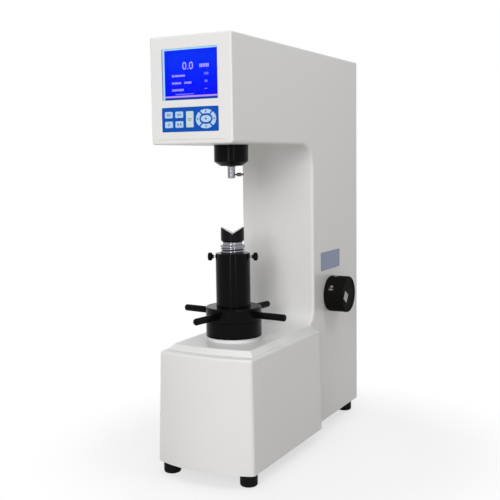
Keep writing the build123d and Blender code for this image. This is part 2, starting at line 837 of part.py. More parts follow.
def load_lever():
    front = -lever_arm_short - lever_overhang
    rear = hanger_y + lever_overhang
    beam = side_profile([(front, lever_bottom), (rear, lever_bottom), (rear, lever_bottom + lever_depth_rear),
                         (2 * lever_overhang, lever_bottom + lever_depth_front),
                         (front, lever_bottom + lever_depth_front)])
    lever = along_x(beam, lever_width)
    lever -= bar_x(pivot_radius + running_gap, -lever_width, lever_width, -lever_arm_short, pivot_height)
    lever -= bar_x(hanger_radius + running_gap, -lever_width, lever_width, hanger_y, hanger_pin_z)
    slot_half = hanger_radius + hanger_fork_gap
    return lever - block((-slot_half, slot_half), (hanger_y - lever_overhang + lever_fork_web, rear + over),
                         (lever_bottom - over, lever_bottom + lever_depth_front))


def pivot_shaft():
    return bar_x(pivot_radius, -yoke_inner - yoke_cheek, yoke_inner + yoke_cheek, -lever_arm_short,
                 pivot_height)


def pivot_yoke():
    """Two cheeks on the head's floor that carry the lever's pivot."""
    front = -lever_arm_short - yoke_length / 2
    rear = -lever_arm_short + yoke_length / 2
    top = pivot_height + yoke_cap
    cheeks = []
    for side in (-1, 1):
        middle = side * (yoke_inner + yoke_cheek / 2)
        cheek = along_x(side_profile([(front, head_floor), (rear, head_floor), (rear - yoke_taper, top),
                                      (front + yoke_taper, top)]),
                        yoke_cheek, middle)
        cheeks.append(cheek - bar_x(pivot_radius, -2 * yoke_inner, 2 * yoke_inner, -lever_arm_short,
                                    pivot_height))
    return cheeks


def hanger():
    """The rod hangs from a cross pin in the lever's forked end, and its plate carries the weights."""
    rod = post(hanger_radius, carrier_bottom, hanger_pin_z, 0, hanger_y)
    rod += bar_x(hanger_radius, -lever_width / 2, lever_width / 2, hanger_y, hanger_pin_z)
    return rod + post(carrier_radius, carrier_bottom, carrier_bottom + carrier_height, 0, hanger_y)


def weights():
    discs = {}
    bottom = carrier_bottom + carrier_height
    for number, height in enumerate(weight_heights, start=1):
        disc = post(weight_radius, bottom, bottom + height, 0, hanger_y)
        disc -= post(hanger_radius + seat_gap, bottom - over, bottom + height + over, 0, hanger_y)
        rims = disc.edges().filter_by(GeomType.CIRCLE).sort_by(SortBy.RADIUS)[-2:]
        discs[f"weight_{number}"] = chamfer(rims, weight_edge)
        bottom += height + weight_gap
    return discs


def loading_cam():
    cam = Pos(0, 0, cam_throw) * bar_x(cam_radius, -cam_width / 2, cam_width / 2, cam_y, cam_z)
    return cam + bar_x(cam_shaft_radius, -motor_start + seat_gap, over - cam_width / 2, cam_y, cam_z)


def loading_motor():
    """The geared motor, with the angle bracket that stands on the head's floor."""
    inner = -motor_start
    motor = bar_x(motor_radius, inner - motor_length, inner, cam_y, cam_z)
    upright = block((inner, inner + bracket_thickness), (cam_y - motor_radius, cam_y + motor_radius),
                    (head_floor, cam_z + motor_radius))
    foot = block((inner - motor_length, inner + bracket_thickness),
                 (cam_y - motor_radius, cam_y + motor_radius),
                 (head_floor, head_floor + bracket_thickness))
    upright -= bar_x(cam_shaft_radius + running_gap, inner - over, inner + bracket_thickness + over, cam_y,
                     cam_z)
    return motor + upright + foot


# ---- Test force selector ----

def selector_knob():
    start = half_width + selector_back_gap
    drum = bar_x(selector_radius, start, selector_face, selector_y, selector_z)
    drum = chamfer(drum.edges().filter_by(GeomType.CIRCLE), selector_edge)
    drum -= bar_x(selector_dish_radius, selector_face - selector_dish, selector_face + over, selector_y,
                  selector_z)
    return drum - bar_x(selector_shaft_radius, start - over, selector_shaft_end, selector_y, selector_z)


def selector_index_ring():
    ring = bar_x(index_ring_radius, half_width, half_width + index_ring_thickness, selector_y, selector_z)
    return ring - bar_x(selector_bush_radius, half_width - over, half_width + 2 * over, selector_y,
                        selector_z)


def selector_pointer():
    """A diamond inlay on the knob's face, off its centre, with one corner pointing outwards."""
    side = pointer_size * sqrt(2)
    on_knob = Rot(0, 0, pointer_turn) * Pos(-pointer_offset, 0) * Rot(0, 0, 45) * Rectangle(side, side)
    diamond = Plane.YZ * (Pos(selector_y, selector_z) * on_knob)
    return Pos(selector_face - selector_dish, 0, 0) * extrude(diamond, pointer_thickness)


def selector_shaft():
    start = selector_cam_x - selector_cam_width
    shaft = bar_x(selector_shaft_radius, start, selector_shaft_end, selector_y, selector_z)
    # the cam's rim rises evenly with the turn, so its outline is an arc of a larger circle set off centre
    lobe_radius = selector_cam_radius - selector_cam_rise
    cam = bar_x(lobe_radius, selector_cam_x - selector_cam_width / 2, selector_cam_x + selector_cam_width / 2,
                selector_y, selector_z - selector_cam_rise)
    return shaft + cam


def selector_bush():
    start = half_width - selector_bush_length
    bush = bar_x(selector_bush_radius, start, half_width, selector_y, selector_z)
    return bush - bar_x(selector_shaft_radius + running_gap, start - over, half_width + over, selector_y,
                        selector_z)


# ---- Electrical pieces ----

def fitting(x, width, height, depth, well, end_wall):
    """An open box let into the rear cover, with a rim that lies on the cover."""
    half_w = width / 2
    half_h = height / 2
    z = rear_fittings_z
    body = block((x - half_w, x + half_w), (overall_rear - depth, overall_rear + over),
                 (z - half_h, z + half_h))
    body += block((x - half_w - fitting_rim, x + half_w + fitting_rim),
                  (overall_rear, overall_rear + fitting_flange),
                  (z - half_h - fitting_rim, z + half_h + fitting_rim))
    return body - block((x - half_w + fitting_rim, x + half_w - fitting_rim),
                        (overall_rear - well, overall_rear + fitting_flange + over),
                        (z - half_h + end_wall, z + half_h - end_wall))


def mains_inlet():
    return fitting(inlet_x, inlet_width, inlet_height, inlet_depth, inlet_socket_depth, fitting_rim)


def power_switch():
    return fitting(switch_x, switch_width, switch_height, inlet_depth, switch_well, switch_end_wall)


def switch_rocker():
    """A rocker with a hollow face. It rests tilted, with its upper end pressed in."""
    half = switch_height / 2 - rocker_end_gap
    profile = side_profile([(-rocker_back, -half + rocker_back), (rocker_face, -half),
                            (rocker_face - rocker_hollow, 0),
                            (rocker_face, half), (-rocker_back, half - rocker_back)])
    rocker = Rot(rocker_swing, 0, 0) * along_x(profile, switch_width - 2 * rocker_side_wall)
    return Pos(switch_x, overall_rear - rocker_pivot_depth, rear_fittings_z) * rocker


def power_supply():
    width, depth, height = supply_size
    return block((-width / 2, width / 2), (frame_rear - depth, frame_rear),
                 (supply_bottom, supply_bottom + height))


def main_board():
    width, height = main_board_size
    back = frame_rear - standoff_length
    board = block((-width / 2, width / 2), (back - board_thickness, back),
                  (main_board_middle_z - height / 2, main_board_middle_z + height / 2))
    for side in (-1, 1):
        for end in (-1, 1):
            board += bar_y(standoff_radius, back, frame_rear, side * (width / 2 - standoff_inset),
                           main_board_middle_z + end * (height / 2 - standoff_inset))
    return board


# ---- The assembly ----

def assembly():
    lower_race, rollers, upper_race = thrust_bearing()
    pieces = {
        "main_frame": main_frame(),
        "head_front_cover": head_front_cover(),
        "top_cover": top_cover(),
        "rear_cover": rear_cover(),
        "base_housing": base_housing(),
        "base_plate": base_plate(),
        "side_plate": side_plate(),
        "feet": [foot(-front_foot_spread, -front_foot_reach), foot(front_foot_spread, -front_foot_reach),
                 foot(-rear_foot_spread, rear_foot_reach), foot(rear_foot_spread, rear_foot_reach)],
        "display_window": display_window(),
        "display_module": display_module(),
        "keypad_overlay": keypad_overlay(),
        "keypad_board": keypad_board(),
        "elevating_screw": elevating_screw(),
        "v_anvil": v_anvil(),
        "dust_sleeve": dust_sleeve(),
        "sleeve_screw_right": sleeve_screw(sleeve_screw_turn),
        "sleeve_screw_left": sleeve_screw(sleeve_screw_turn + sleeve_screw_spread),
        "handwheel_hub": handwheel_hub(),
        "handwheel_handles": [handwheel_handle(turn) for turn in handle_turns()],
        "elevating_nut": elevating_nut(),
        "thrust_race_upper": upper_race,
        "thrust_race_lower": [lower_race] + rollers,
        "handwheel_flange": handwheel_flange(),
        "thrust_seat": thrust_seat(),
        "screw_guide_bush": screw_guide_bush(),
        "spindle_guard": spindle_guard(),
        "spindle_guide": spindle_guide(),
        "spindle": spindle(),
        "indenter": indenter(),
        "indenter_screw": indenter_screw(),
        "depth_encoder": depth_encoder(),
        "load_lever": load_lever(),
        "pivot_shaft": pivot_shaft(),
        "pivot_yoke": pivot_yoke(),
        "hanger": hanger(),
        "loading_cam": loading_cam(),
        "loading_motor": loading_motor(),
        "selector_knob": selector_knob(),
        "selector_index_ring": selector_index_ring(),
        "selector_pointer": selector_pointer(),
        "selector_shaft": selector_shaft(),
        "selector_bush": selector_bush(),
        "mains_inlet": mains_inlet(),
        "power_switch": power_switch(),
        "switch_rocker": switch_rocker(),
        "power_supply": power_supply(),
        "main_board": main_board(),
    }
    pieces.update(keys())
    pieces.update(weights())
    return pieces


def write_parts():
    os.makedirs("parts", exist_ok=True)
    for name, shape in assembly().items():
        solids = []
        for item in (shape if isinstance(shape, list) else [shape]):
            solids.extend(item.solids())
        whole = solids[0] if len(solids) == 1 else Compound(children=solids)
        whole.label = name
        export_step(whole, f"parts/{name}.step")


write_parts()
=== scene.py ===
import math

import bmesh
import bpy
from mathutils import Matrix, Vector


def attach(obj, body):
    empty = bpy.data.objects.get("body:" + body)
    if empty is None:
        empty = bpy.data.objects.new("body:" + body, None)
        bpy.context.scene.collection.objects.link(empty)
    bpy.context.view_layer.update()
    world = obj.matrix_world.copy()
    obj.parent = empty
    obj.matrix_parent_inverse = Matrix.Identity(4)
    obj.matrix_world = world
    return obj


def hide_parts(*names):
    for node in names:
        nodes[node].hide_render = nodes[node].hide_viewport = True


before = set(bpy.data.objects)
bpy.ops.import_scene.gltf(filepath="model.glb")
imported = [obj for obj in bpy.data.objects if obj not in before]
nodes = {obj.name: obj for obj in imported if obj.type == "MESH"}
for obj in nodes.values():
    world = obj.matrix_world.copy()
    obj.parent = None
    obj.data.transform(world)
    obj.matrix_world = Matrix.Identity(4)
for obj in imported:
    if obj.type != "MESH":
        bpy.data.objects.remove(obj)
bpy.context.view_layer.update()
mm = 0.001
print("frame loaded:", len(nodes), "nodes")


# Node helpers

def addNode(tree, kind, settings=None, **inputs):
    node = tree.nodes.new(kind)
    for key, value in (settings or {}).items():
        setattr(node, key, value)
    for key, value in inputs.items():
        node.inputs[key.replace("_", " ")].default_value = value
    return node


def newGroup(name, inputs, outputs):
    group = bpy.data.node_groups.new(name, "ShaderNodeTree")
    for socketName, kind, default in inputs:
        socket = group.interface.new_socket(name=socketName, in_out="INPUT", socket_type=kind)
        socket.default_value = default
    for socketName, kind in outputs:
        group.interface.new_socket(name=socketName, in_out="OUTPUT", socket_type=kind)
    return group, group.nodes.new("NodeGroupInput"), group.nodes.new("NodeGroupOutput")


surfaceOutputs = [("Color", "NodeSocketColor"), ("Roughness", "NodeSocketFloat"),
                  ("Normal", "NodeSocketVector")]


def driftAndBump(group, source, sink, drifting, raised, toneInput, heightInput, bumpDistance):
    # one noise moves tone and roughness about their set values, and one raises the bumps
    centred = addNode(group, "ShaderNodeMath", {"operation": "SUBTRACT"})
    centred.inputs[1].default_value = 0.5
    group.links.new(drifting.outputs["Fac"], centred.inputs[0])
    tone = addNode(group, "ShaderNodeMath", {"operation": "MULTIPLY_ADD"})
    group.links.new(centred.outputs[0], tone.inputs[0])
    group.links.new(source.outputs[toneInput], tone.inputs[1])
    tone.inputs[2].default_value = 1.0
    shade = addNode(group, "ShaderNodeVectorMath", {"operation": "SCALE"})
    group.links.new(source.outputs["Color"], shade.inputs[0])
    group.links.new(tone.outputs[0], shade.inputs["Scale"])
    group.links.new(shade.outputs[0], sink.inputs["Color"])
    rough = addNode(group, "ShaderNodeMath", {"operation": "MULTIPLY_ADD"})
    group.links.new(centred.outputs[0], rough.inputs[0])
    group.links.new(source.outputs["Roughness Drift"], rough.inputs[1])
    group.links.new(source.outputs["Roughness"], rough.inputs[2])
    group.links.new(rough.outputs[0], sink.inputs["Roughness"])
    bump = addNode(group, "ShaderNodeBump", Distance=bumpDistance)
    group.links.new(source.outputs[heightInput], bump.inputs["Strength"])
    group.links.new(raised.outputs["Fac"], bump.inputs["Height"])
    group.links.new(bump.outputs["Normal"], sink.inputs["Normal"])


def makeFineGrain():
    # small bumps and a slow drift of tone, for paint, plastic, rubber, printed film and cast iron
    inputs = [("Color", "NodeSocketColor", (0.8, 0.8, 0.8, 1)), ("Roughness", "NodeSocketFloat", 0.4),
              ("Grain Scale", "NodeSocketFloat", 900.0), ("Grain Height", "NodeSocketFloat", 0.1),
              ("Tone", "NodeSocketFloat", 0.04), ("Roughness Drift", "NodeSocketFloat", 0.06)]
    group, source, sink = newGroup("fineGrain", inputs, surfaceOutputs)
    coords = addNode(group, "ShaderNodeTexCoord")
    slow = addNode(group, "ShaderNodeTexNoise", Scale=9.0, Detail=3.0)
    fine = addNode(group, "ShaderNodeTexNoise", Detail=2.0)
    group.links.new(coords.outputs["Object"], slow.inputs["Vector"])
    group.links.new(coords.outputs["Object"], fine.inputs["Vector"])
    group.links.new(source.outputs["Grain Scale"], fine.inputs["Scale"])
    driftAndBump(group, source, sink, slow, fine, "Tone", "Grain Height", 0.2 * mm)
    return group


def makeToolMarks():
    # fine lines left by a lathe or a brush, stretched across the direction given by Stretch
    inputs = [("Color", "NodeSocketColor", (0.6, 0.6, 0.6, 1)), ("Roughness", "NodeSocketFloat", 0.25),
              ("Stretch", "NodeSocketVector", (6.0, 6.0, 900.0)), ("Line Height", "NodeSocketFloat", 0.15),
              ("Line Tone", "NodeSocketFloat", 0.15), ("Roughness Drift", "NodeSocketFloat", 0.12)]
    group, source, sink = newGroup("toolMarks", inputs, surfaceOutputs)
    coords = addNode(group, "ShaderNodeTexCoord")
    stretched = addNode(group, "ShaderNodeVectorMath", {"operation": "MULTIPLY"})
    group.links.new(coords.outputs["Object"], stretched.inputs[0])
    group.links.new(source.outputs["Stretch"], stretched.inputs[1])
    lines = addNode(group, "ShaderNodeTexNoise", Scale=1.0, Detail=4.0, Roughness=0.6)
    group.links.new(stretched.outputs[0], lines.inputs["Vector"])
    driftAndBump(group, source, sink, lines, lines, "Line Tone", "Line Height", 0.08 * mm)
    return group


fineGrain = makeFineGrain()
toolMarks = makeToolMarks()


def newMaterial(name):
    material = bpy.data.materials.new(name)
    material.use_nodes = True
    tree = material.node_tree
    return material, tree, tree.nodes["Principled BSDF"]


def finishMaterial(name, group, values, shader=None):
    material, tree, surface = newMaterial(name)
    skin = tree.nodes.new("ShaderNodeGroup")
    skin.node_tree = group
    for key, value in values.items():
        skin.inputs[key].default_value = value
    tree.links.new(skin.outputs["Color"], surface.inputs["Base Color"])
    tree.links.new(skin.outputs["Roughness"], surface.inputs["Roughness"])
    tree.links.new(skin.outputs["Normal"], surface.inputs["Normal"])
    for key, value in (shader or {}).items():
        surface.inputs[key].default_value = value
    return material


around = (4.0, 4.0, 1400.0)      # lathe marks on a piece turned about the test axis
aroundX = (1400.0, 4.0, 4.0)     # the same on a piece turned about X
brushedY = (900.0, 6.0, 900.0)   # brushed along Y
brushedZ = (900.0, 900.0, 6.0)   # brushed along Z
groundY = (500.0, 20.0, 500.0)   # shorter, coarser marks of a grinder along Y

paintLight = finishMaterial("paintLight", fineGrain, {
    "Color": (0.80, 0.795, 0.785, 1), "Roughness": 0.38, "Grain Scale": 620.0, "Grain Height": 0.22,
    "Tone": 0.03, "Roughness Drift": 0.10}, {"Coat Weight": 0.12, "Coat Roughness": 0.22})
blackGloss = finishMaterial("blackGloss", toolMarks, {
    "Color": (0.0038, 0.0038, 0.0044, 1), "Roughness": 0.16, "Stretch": around, "Line Height": 0.10,
    "Line Tone": 0.5, "Roughness Drift": 0.10}, {"Specular IOR Level": 0.055})
blackRods = finishMaterial("blackRods", fineGrain, {
    "Color": (0.0036, 0.0036, 0.0042, 1), "Roughness": 0.24, "Grain Scale": 1500.0, "Grain Height": 0.08,
    "Tone": 0.2, "Roughness Drift": 0.12}, {"Specular IOR Level": 0.05})
blackOxide = finishMaterial("blackOxide", toolMarks, {
    "Color": (0.0065, 0.0062, 0.0085, 1), "Roughness": 0.28, "Stretch": groundY, "Line Height": 0.2,
    "Line Tone": 0.5, "Roughness Drift": 0.2}, {"Specular IOR Level": 0.07})
knobPlastic = finishMaterial("knobPlastic", fineGrain, {
    "Color": (0.0082, 0.0077, 0.0071, 1), "Roughness": 0.38, "Grain Scale": 2200.0, "Grain Height": 0.35,
    "Tone": 0.15, "Roughness Drift": 0.08}, {"Specular IOR Level": 0.006})
groundSteel = finishMaterial("groundSteel", toolMarks, {
    "Color": (0.25, 0.25, 0.275, 1), "Roughness": 0.20, "Stretch": around, "Line Height": 0.25,
    "Line Tone": 0.25, "Roughness Drift": 0.15}, {"Metallic": 1.0})
seatSteel = finishMaterial("seatSteel", toolMarks, {
    "Color": (0.90, 0.90, 0.92, 1), "Roughness": 0.55, "Stretch": around, "Line Height": 0.2,
    "Line Tone": 0.08, "Roughness Drift": 0.1}, {"Specular IOR Level": 0.3})
shaftSteel = finishMaterial("shaftSteel", toolMarks, {
    "Color": (0.60, 0.60, 0.61, 1), "Roughness": 0.28, "Stretch": aroundX, "Line Height": 0.2,
    "Line Tone": 0.2, "Roughness Drift": 0.12}, {"Metallic": 1.0})
castIron = finishMaterial("castIron", fineGrain, {
    "Color": (0.19, 0.19, 0.195, 1), "Roughness": 0.52, "Grain Scale": 1100.0, "Grain Height": 0.6,
    "Tone": 0.3, "Roughness Drift": 0.2}, {"Metallic": 0.7})
bronze = finishMaterial("bronze", toolMarks, {
    "Color": (0.56, 0.37, 0.16, 1), "Roughness": 0.30, "Stretch": around, "Line Height": 0.2,
    "Line Tone": 0.2, "Roughness Drift": 0.12}, {"Metallic": 1.0})
darkPaint = finishMaterial("darkPaint", fineGrain, {
    "Color": (0.09, 0.09, 0.095, 1), "Roughness": 0.45, "Grain Scale": 800.0, "Grain Height": 0.4,
    "Tone": 0.2, "Roughness Drift": 0.1})
footRubber = finishMaterial("footRubber", fineGrain, {
    "Color": (0.0085, 0.008, 0.0078, 1), "Roughness": 0.50, "Grain Scale": 1800.0, "Grain Height": 0.5,
    "Tone": 0.25, "Roughness Drift": 0.15}, {"Specular IOR Level": 0.05})
plateAluminium = finishMaterial("plateAluminium", toolMarks, {
    "Color": (0.185, 0.22, 0.32, 1), "Roughness": 0.40, "Stretch": brushedY, "Line Height": 0.2,
    "Line Tone": 0.18, "Roughness Drift": 0.12}, {"Metallic": 0.65})
pointerMetal = finishMaterial("pointerMetal", toolMarks, {
    "Color": (0.27, 0.265, 0.26, 1), "Roughness": 0.38, "Stretch": brushedZ, "Line Height": 0.15,
    "Line Tone": 0.12, "Roughness Drift": 0.1}, {"Metallic": 0.6})
motorMetal = finishMaterial("motorMetal", fineGrain, {
    "Color": (0.44, 0.44, 0.45, 1), "Roughness": 0.42, "Grain Scale": 900.0, "Grain Height": 0.4,
    "Tone": 0.12, "Roughness Drift": 0.1}, {"Metallic": 0.9})
boardGreen = finishMaterial("boardGreen", fineGrain, {
    "Color": (0.012, 0.12, 0.045, 1), "Roughness": 0.35, "Grain Scale": 500.0, "Grain Height": 0.2,
    "Tone": 0.2, "Roughness Drift": 0.1})
overlayFilm = finishMaterial("overlayFilm", fineGrain, {
    "Color": (0.002, 0.083, 0.47, 1), "Roughness": 0.45, "Grain Scale": 2600.0, "Grain Height": 0.25,
    "Tone": 0.08, "Roughness Drift": 0.06}, {"Specular IOR Level": 0.15})
keyPlastic = finishMaterial("keyPlastic", fineGrain, {
    "Color": (0.47, 0.66, 0.92, 1), "Roughness": 0.40, "Grain Scale": 2400.0, "Grain Height": 0.2,
    "Tone": 0.04, "Roughness Drift": 0.06}, {"Specular IOR Level": 0.2})
keyPlasticGreen = finishMaterial("keyPlasticGreen", fineGrain, {
    "Color": (0.58, 0.72, 0.72, 1), "Roughness": 0.40, "Grain Scale": 2400.0, "Grain Height": 0.2,
    "Tone": 0.04, "Roughness Drift": 0.06})
markInk = finishMaterial("markInk", fineGrain, {
    "Color": (0.075, 0.115, 0.16, 1), "Roughness": 0.5, "Grain Scale": 1500.0, "Grain Height": 0.1,
    "Tone": 0.2, "Roughness Drift": 0.05})
numeralWhite = finishMaterial("numeralWhite", fineGrain, {
    "Color": (0.62, 0.62, 0.62, 1), "Roughness": 0.45, "Grain Scale": 1500.0, "Grain Height": 0.2,
    "Tone": 0.15, "Roughness Drift": 0.05})


panelSettings = {
    "left": -52.8, "bottom": 628.8, "width": 102.4, "height": 80.6, "topGlow": 1.8, "leftGlow": 1.1,
    "glowColour": (0.40, 0.76, 1.0, 1), "dimmest": 0.94, "brightest": 1.04,
    # colours from the lower edge up: a dark band, a pale strip, then blue
    "upwards": [(0.0, (0.006, 0.050, 0.40, 1)), (0.050, (0.004, 0.040, 0.42, 1)),
                (0.056, (0.50, 0.30, 0.90, 1)), (0.084, (0.56, 0.36, 0.94, 1)),
                (0.090, (0.001, 0.004, 0.90, 1)), (0.40, (0.0006, 0.009, 0.98, 1)),
                (0.75, (0.001, 0.026, 0.94, 1)), (1.0, (0.0015, 0.024, 0.88, 1))],
    "sideways": [(0.0, (0.88, 0.88, 0.90, 1)), (0.30, (1, 1, 1, 1)), (0.90, (0.92, 0.92, 0.94, 1)),
                 (1.0, (0.84, 0.84, 0.88, 1))],
}


def addRamp(tree, place, stops):
    ramp = addNode(tree, "ShaderNodeValToRGB")
    elements = ramp.color_ramp.elements
    elements[0].color = stops[0][1]
    elements[1].color = stops[-1][1]
    for position, colour in stops[1:-1]:
        elements.new(position).color = colour
    tree.links.new(place, ramp.inputs["Fac"])
    return ramp


def makeDisplayMaterial(s):
    # a lit blue panel with a fine sparkle of pixels
    material, tree, surface = newMaterial("displayPanel")
    surface.inputs["Base Color"].default_value = (0.002, 0.004, 0.03, 1)
    surface.inputs["Roughness"].default_value = 0.5
    surface.inputs["Specular IOR Level"].default_value = 0.0
    surface.inputs["Emission Strength"].default_value = 1.0
    top = (s["bottom"] + s["height"]) * mm
    coords = addNode(tree, "ShaderNodeTexCoord")
    split = addNode(tree, "ShaderNodeSeparateXYZ")
    tree.links.new(coords.outputs["Object"], split.inputs[0])
    height = addNode(tree, "ShaderNodeMapRange", From_Min=s["bottom"] * mm, From_Max=top)
    tree.links.new(split.outputs["Z"], height.inputs["Value"])
    across = addNode(tree, "ShaderNodeMapRange", From_Min=s["left"] * mm,
                     From_Max=(s["left"] + s["width"]) * mm)
    tree.links.new(split.outputs["X"], across.inputs["Value"])
    panel = addRamp(tree, height.outputs["Result"], s["upwards"])
    side = addRamp(tree, across.outputs["Result"], s["sideways"])
    pixels = addNode(tree, "ShaderNodeTexNoise", Scale=2500.0, Detail=1.0)
    tree.links.new(coords.outputs["Object"], pixels.inputs["Vector"])
    sparkle = addNode(tree, "ShaderNodeMapRange", To_Min=s["dimmest"], To_Max=s["brightest"])
    tree.links.new(pixels.outputs["Fac"], sparkle.inputs["Value"])
    mix = addNode(tree, "ShaderNodeMix", {"data_type": "RGBA", "blend_type": "MULTIPLY"})
    mix.inputs["Factor"].default_value = 1.0
    tree.links.new(panel.outputs["Color"], mix.inputs[6])
    tree.links.new(side.outputs["Color"], mix.inputs[7])
    lit = addNode(tree, "ShaderNodeVectorMath", {"operation": "SCALE"})
    tree.links.new(mix.outputs[2], lit.inputs[0])
    tree.links.new(sparkle.outputs["Result"], lit.inputs["Scale"])
    # painted light: a pale glow along the top and left edges stands for the opening's top and left walls, lit
    # by the backlight
    overTop = addNode(tree, "ShaderNodeMath", {"operation": "GREATER_THAN"})
    overTop.inputs[1].default_value = top - s["topGlow"] * mm
    tree.links.new(split.outputs["Z"], overTop.inputs[0])
    overLeft = addNode(tree, "ShaderNodeMath", {"operation": "LESS_THAN"})
    overLeft.inputs[1].default_value = (s["left"] + s["leftGlow"]) * mm
    tree.links.new(split.outputs["X"], overLeft.inputs[0])
    edge = addNode(tree, "ShaderNodeMath", {"operation": "MAXIMUM"})
    tree.links.new(overTop.outputs[0], edge.inputs[0])
    tree.links.new(overLeft.outputs[0], edge.inputs[1])
    glow = addNode(tree, "ShaderNodeMix", {"data_type": "RGBA"})
    tree.links.new(edge.outputs[0], glow.inputs["Factor"])
    tree.links.new(lit.outputs[0], glow.inputs[6])
    glow.inputs[7].default_value = s["glowColour"]
    tree.links.new(glow.outputs[2], surface.inputs["Emission Color"])
    return material


def makeWindowMaterial():
    material, tree, surface = newMaterial("displayWindow")
    surface.inputs["Base Color"].default_value = (0.96, 0.97, 1.0, 1)
    surface.inputs["Transmission Weight"].default_value = 1.0
    surface.inputs["IOR"].default_value = 1.06
    haze = addNode(tree, "ShaderNodeTexNoise", Scale=60.0, Detail=3.0)
    coords = addNode(tree, "ShaderNodeTexCoord")
    tree.links.new(coords.outputs["Object"], haze.inputs["Vector"])
    rough = addNode(tree, "ShaderNodeMapRange", To_Min=0.01, To_Max=0.05)
    tree.links.new(haze.outputs["Fac"], rough.inputs["Value"])
    tree.links.new(rough.outputs["Result"], surface.inputs["Roughness"])
    return material


def makeLitText():
    material, tree, surface = newMaterial("litText")
    surface.inputs["Base Color"].default_value = (0.02, 0.02, 0.04, 1)
    surface.inputs["Specular IOR Level"].default_value = 0.0
    surface.inputs["Emission Strength"].default_value = 1.0
    coords = addNode(tree, "ShaderNodeTexCoord")
    pixels = addNode(tree, "ShaderNodeTexNoise", Scale=900.0, Detail=1.0)
    tree.links.new(coords.outputs["Object"], pixels.inputs["Vector"])
    tone = addRamp(tree, pixels.outputs["Fac"], [(0.0, (0.34, 0.27, 0.90, 1)), (1.0, (0.62, 0.50, 0.96, 1))])
    tree.links.new(tone.outputs["Color"], surface.inputs["Emission Color"])
    return material


def makeThreadSteel():
    # bright crests, and painted shade down in the thread: the colour darkens towards the root
    settings = {"dark": 19.0, "bright": 21.0, "rootShadeShare": 0.16}
    material = finishMaterial("threadSteel", toolMarks, {
        "Color": (0.29, 0.29, 0.32, 1), "Roughness": 0.20, "Stretch": (6.0, 6.0, 2000.0), "Line Height": 0.1,
        "Line Tone": 0.2, "Roughness Drift": 0.12}, {"Metallic": 1.0})
    tree = material.node_tree
    skin = next(node for node in tree.nodes if node.type == "GROUP")
    coords = addNode(tree, "ShaderNodeTexCoord")
    flat = addNode(tree, "ShaderNodeVectorMath", {"operation": "MULTIPLY"})
    flat.inputs[1].default_value = (1, 1, 0)
    tree.links.new(coords.outputs["Object"], flat.inputs[0])
    radius = addNode(tree, "ShaderNodeVectorMath", {"operation": "LENGTH"})
    tree.links.new(flat.outputs[0], radius.inputs[0])
    # painted shade: from crest to root the base colour falls to the share given in the settings
    depth = addNode(tree, "ShaderNodeMapRange", From_Min=settings["dark"] * mm,
                    From_Max=settings["bright"] * mm, To_Min=settings["rootShadeShare"], To_Max=1.0)
    tree.links.new(radius.outputs["Value"], depth.inputs["Value"])
    shade = addNode(tree, "ShaderNodeVectorMath", {"operation": "SCALE"})
    tree.links.new(skin.outputs["Color"], shade.inputs[0])
    tree.links.new(depth.outputs["Result"], shade.inputs["Scale"])
    tree.links.new(shade.outputs[0], tree.nodes["Principled BSDF"].inputs["Base Color"])
    return material


displayPanel = makeDisplayMaterial(panelSettings)
windowFilm = makeWindowMaterial()
litText = makeLitText()
threadSteel = makeThreadSteel()
print("materials made")

nodeFinishes = {
    "main_frame": paintLight, "head_front_cover": paintLight, "top_cover": paintLight,
    "rear_cover": paintLight, "base_housing": paintLight, "base_plate": darkPaint,
    "side_plate": plateAluminium, "feet": footRubber, "display_window": windowFilm,
    "display_module": displayPanel, "keypad_overlay": overlayFilm, "keypad_board": boardGreen,
    "elevating_screw": threadSteel, "v_anvil": blackOxide, "dust_sleeve": blackGloss,
    "sleeve_screw_right": blackRods, "sleeve_screw_left": blackRods, "handwheel_hub": blackGloss,
    "handwheel_handles": blackRods, "elevating_nut": bronze, "thrust_race_upper": groundSteel,
    "thrust_race_lower": groundSteel, "handwheel_flange": blackGloss, "thrust_seat": seatSteel,
    "screw_guide_bush": bronze, "spindle_guard": blackGloss, "spindle_guide": bronze,
    "spindle": groundSteel, "indenter": groundSteel, "indenter_screw": darkPaint,
    "depth_encoder": motorMetal, "load_lever": castIron, "pivot_shaft": shaftSteel, "pivot_yoke": darkPaint,
    "hanger": groundSteel, "loading_cam": shaftSteel, "loading_motor": motorMetal,
    "selector_knob": knobPlastic, "selector_index_ring": knobPlastic, "selector_pointer": pointerMetal,
    "selector_shaft": shaftSteel, "selector_bush": bronze, "mains_inlet": knobPlastic,
    "power_switch": knobPlastic, "switch_rocker": knobPlastic, "power_supply": motorMetal,
    "main_board": boardGreen, "weight_1": castIron, "weight_2": castIron, "weight_3": castIron,
    "key_tall": keyPlasticGreen,
}
# the other nine keys are all of keyPlastic
for nodeName, nodeObject in nodes.items():
    nodeObject.data.materials.clear()
    nodeObject.data.materials.append(nodeFinishes.get(nodeName, keyPlastic))


# Mesh helpers


def addObject(name, data):
    made = bpy.data.objects.new(name, data)
    bpy.context.scene.collection.objects.link(made)
    return made


def addPiece(name, mesh, body, finishes, sharpAngle=35):
    mesh.polygons.foreach_set("use_smooth", [True] * len(mesh.polygons))
    mesh.set_sharp_from_angle(angle=math.radians(sharpAngle))
    piece = addObject(name, mesh)
    for finish in finishes:
        mesh.materials.append(finish)
    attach(piece, body)
    return piece


def meshFrom(bm, name):
    mesh = bpy.data.meshes.new(name)
    bm.to_mesh(mesh)
    bm.free()
    return mesh


def moved(x, y, z):
    return Matrix.Translation((x * mm, y * mm, z * mm))


def turned(degrees, axis):
    return Matrix.Rotation(math.radians(degrees), 4, axis)


def roundEdges(bm, edges, width, segments):
    bmesh.ops.bevel(bm, geom=edges, offset=width * mm, offset_type="OFFSET", affect="EDGES",
                    segments=segments, profile=0.5, material=-1, clamp_overlap=True)


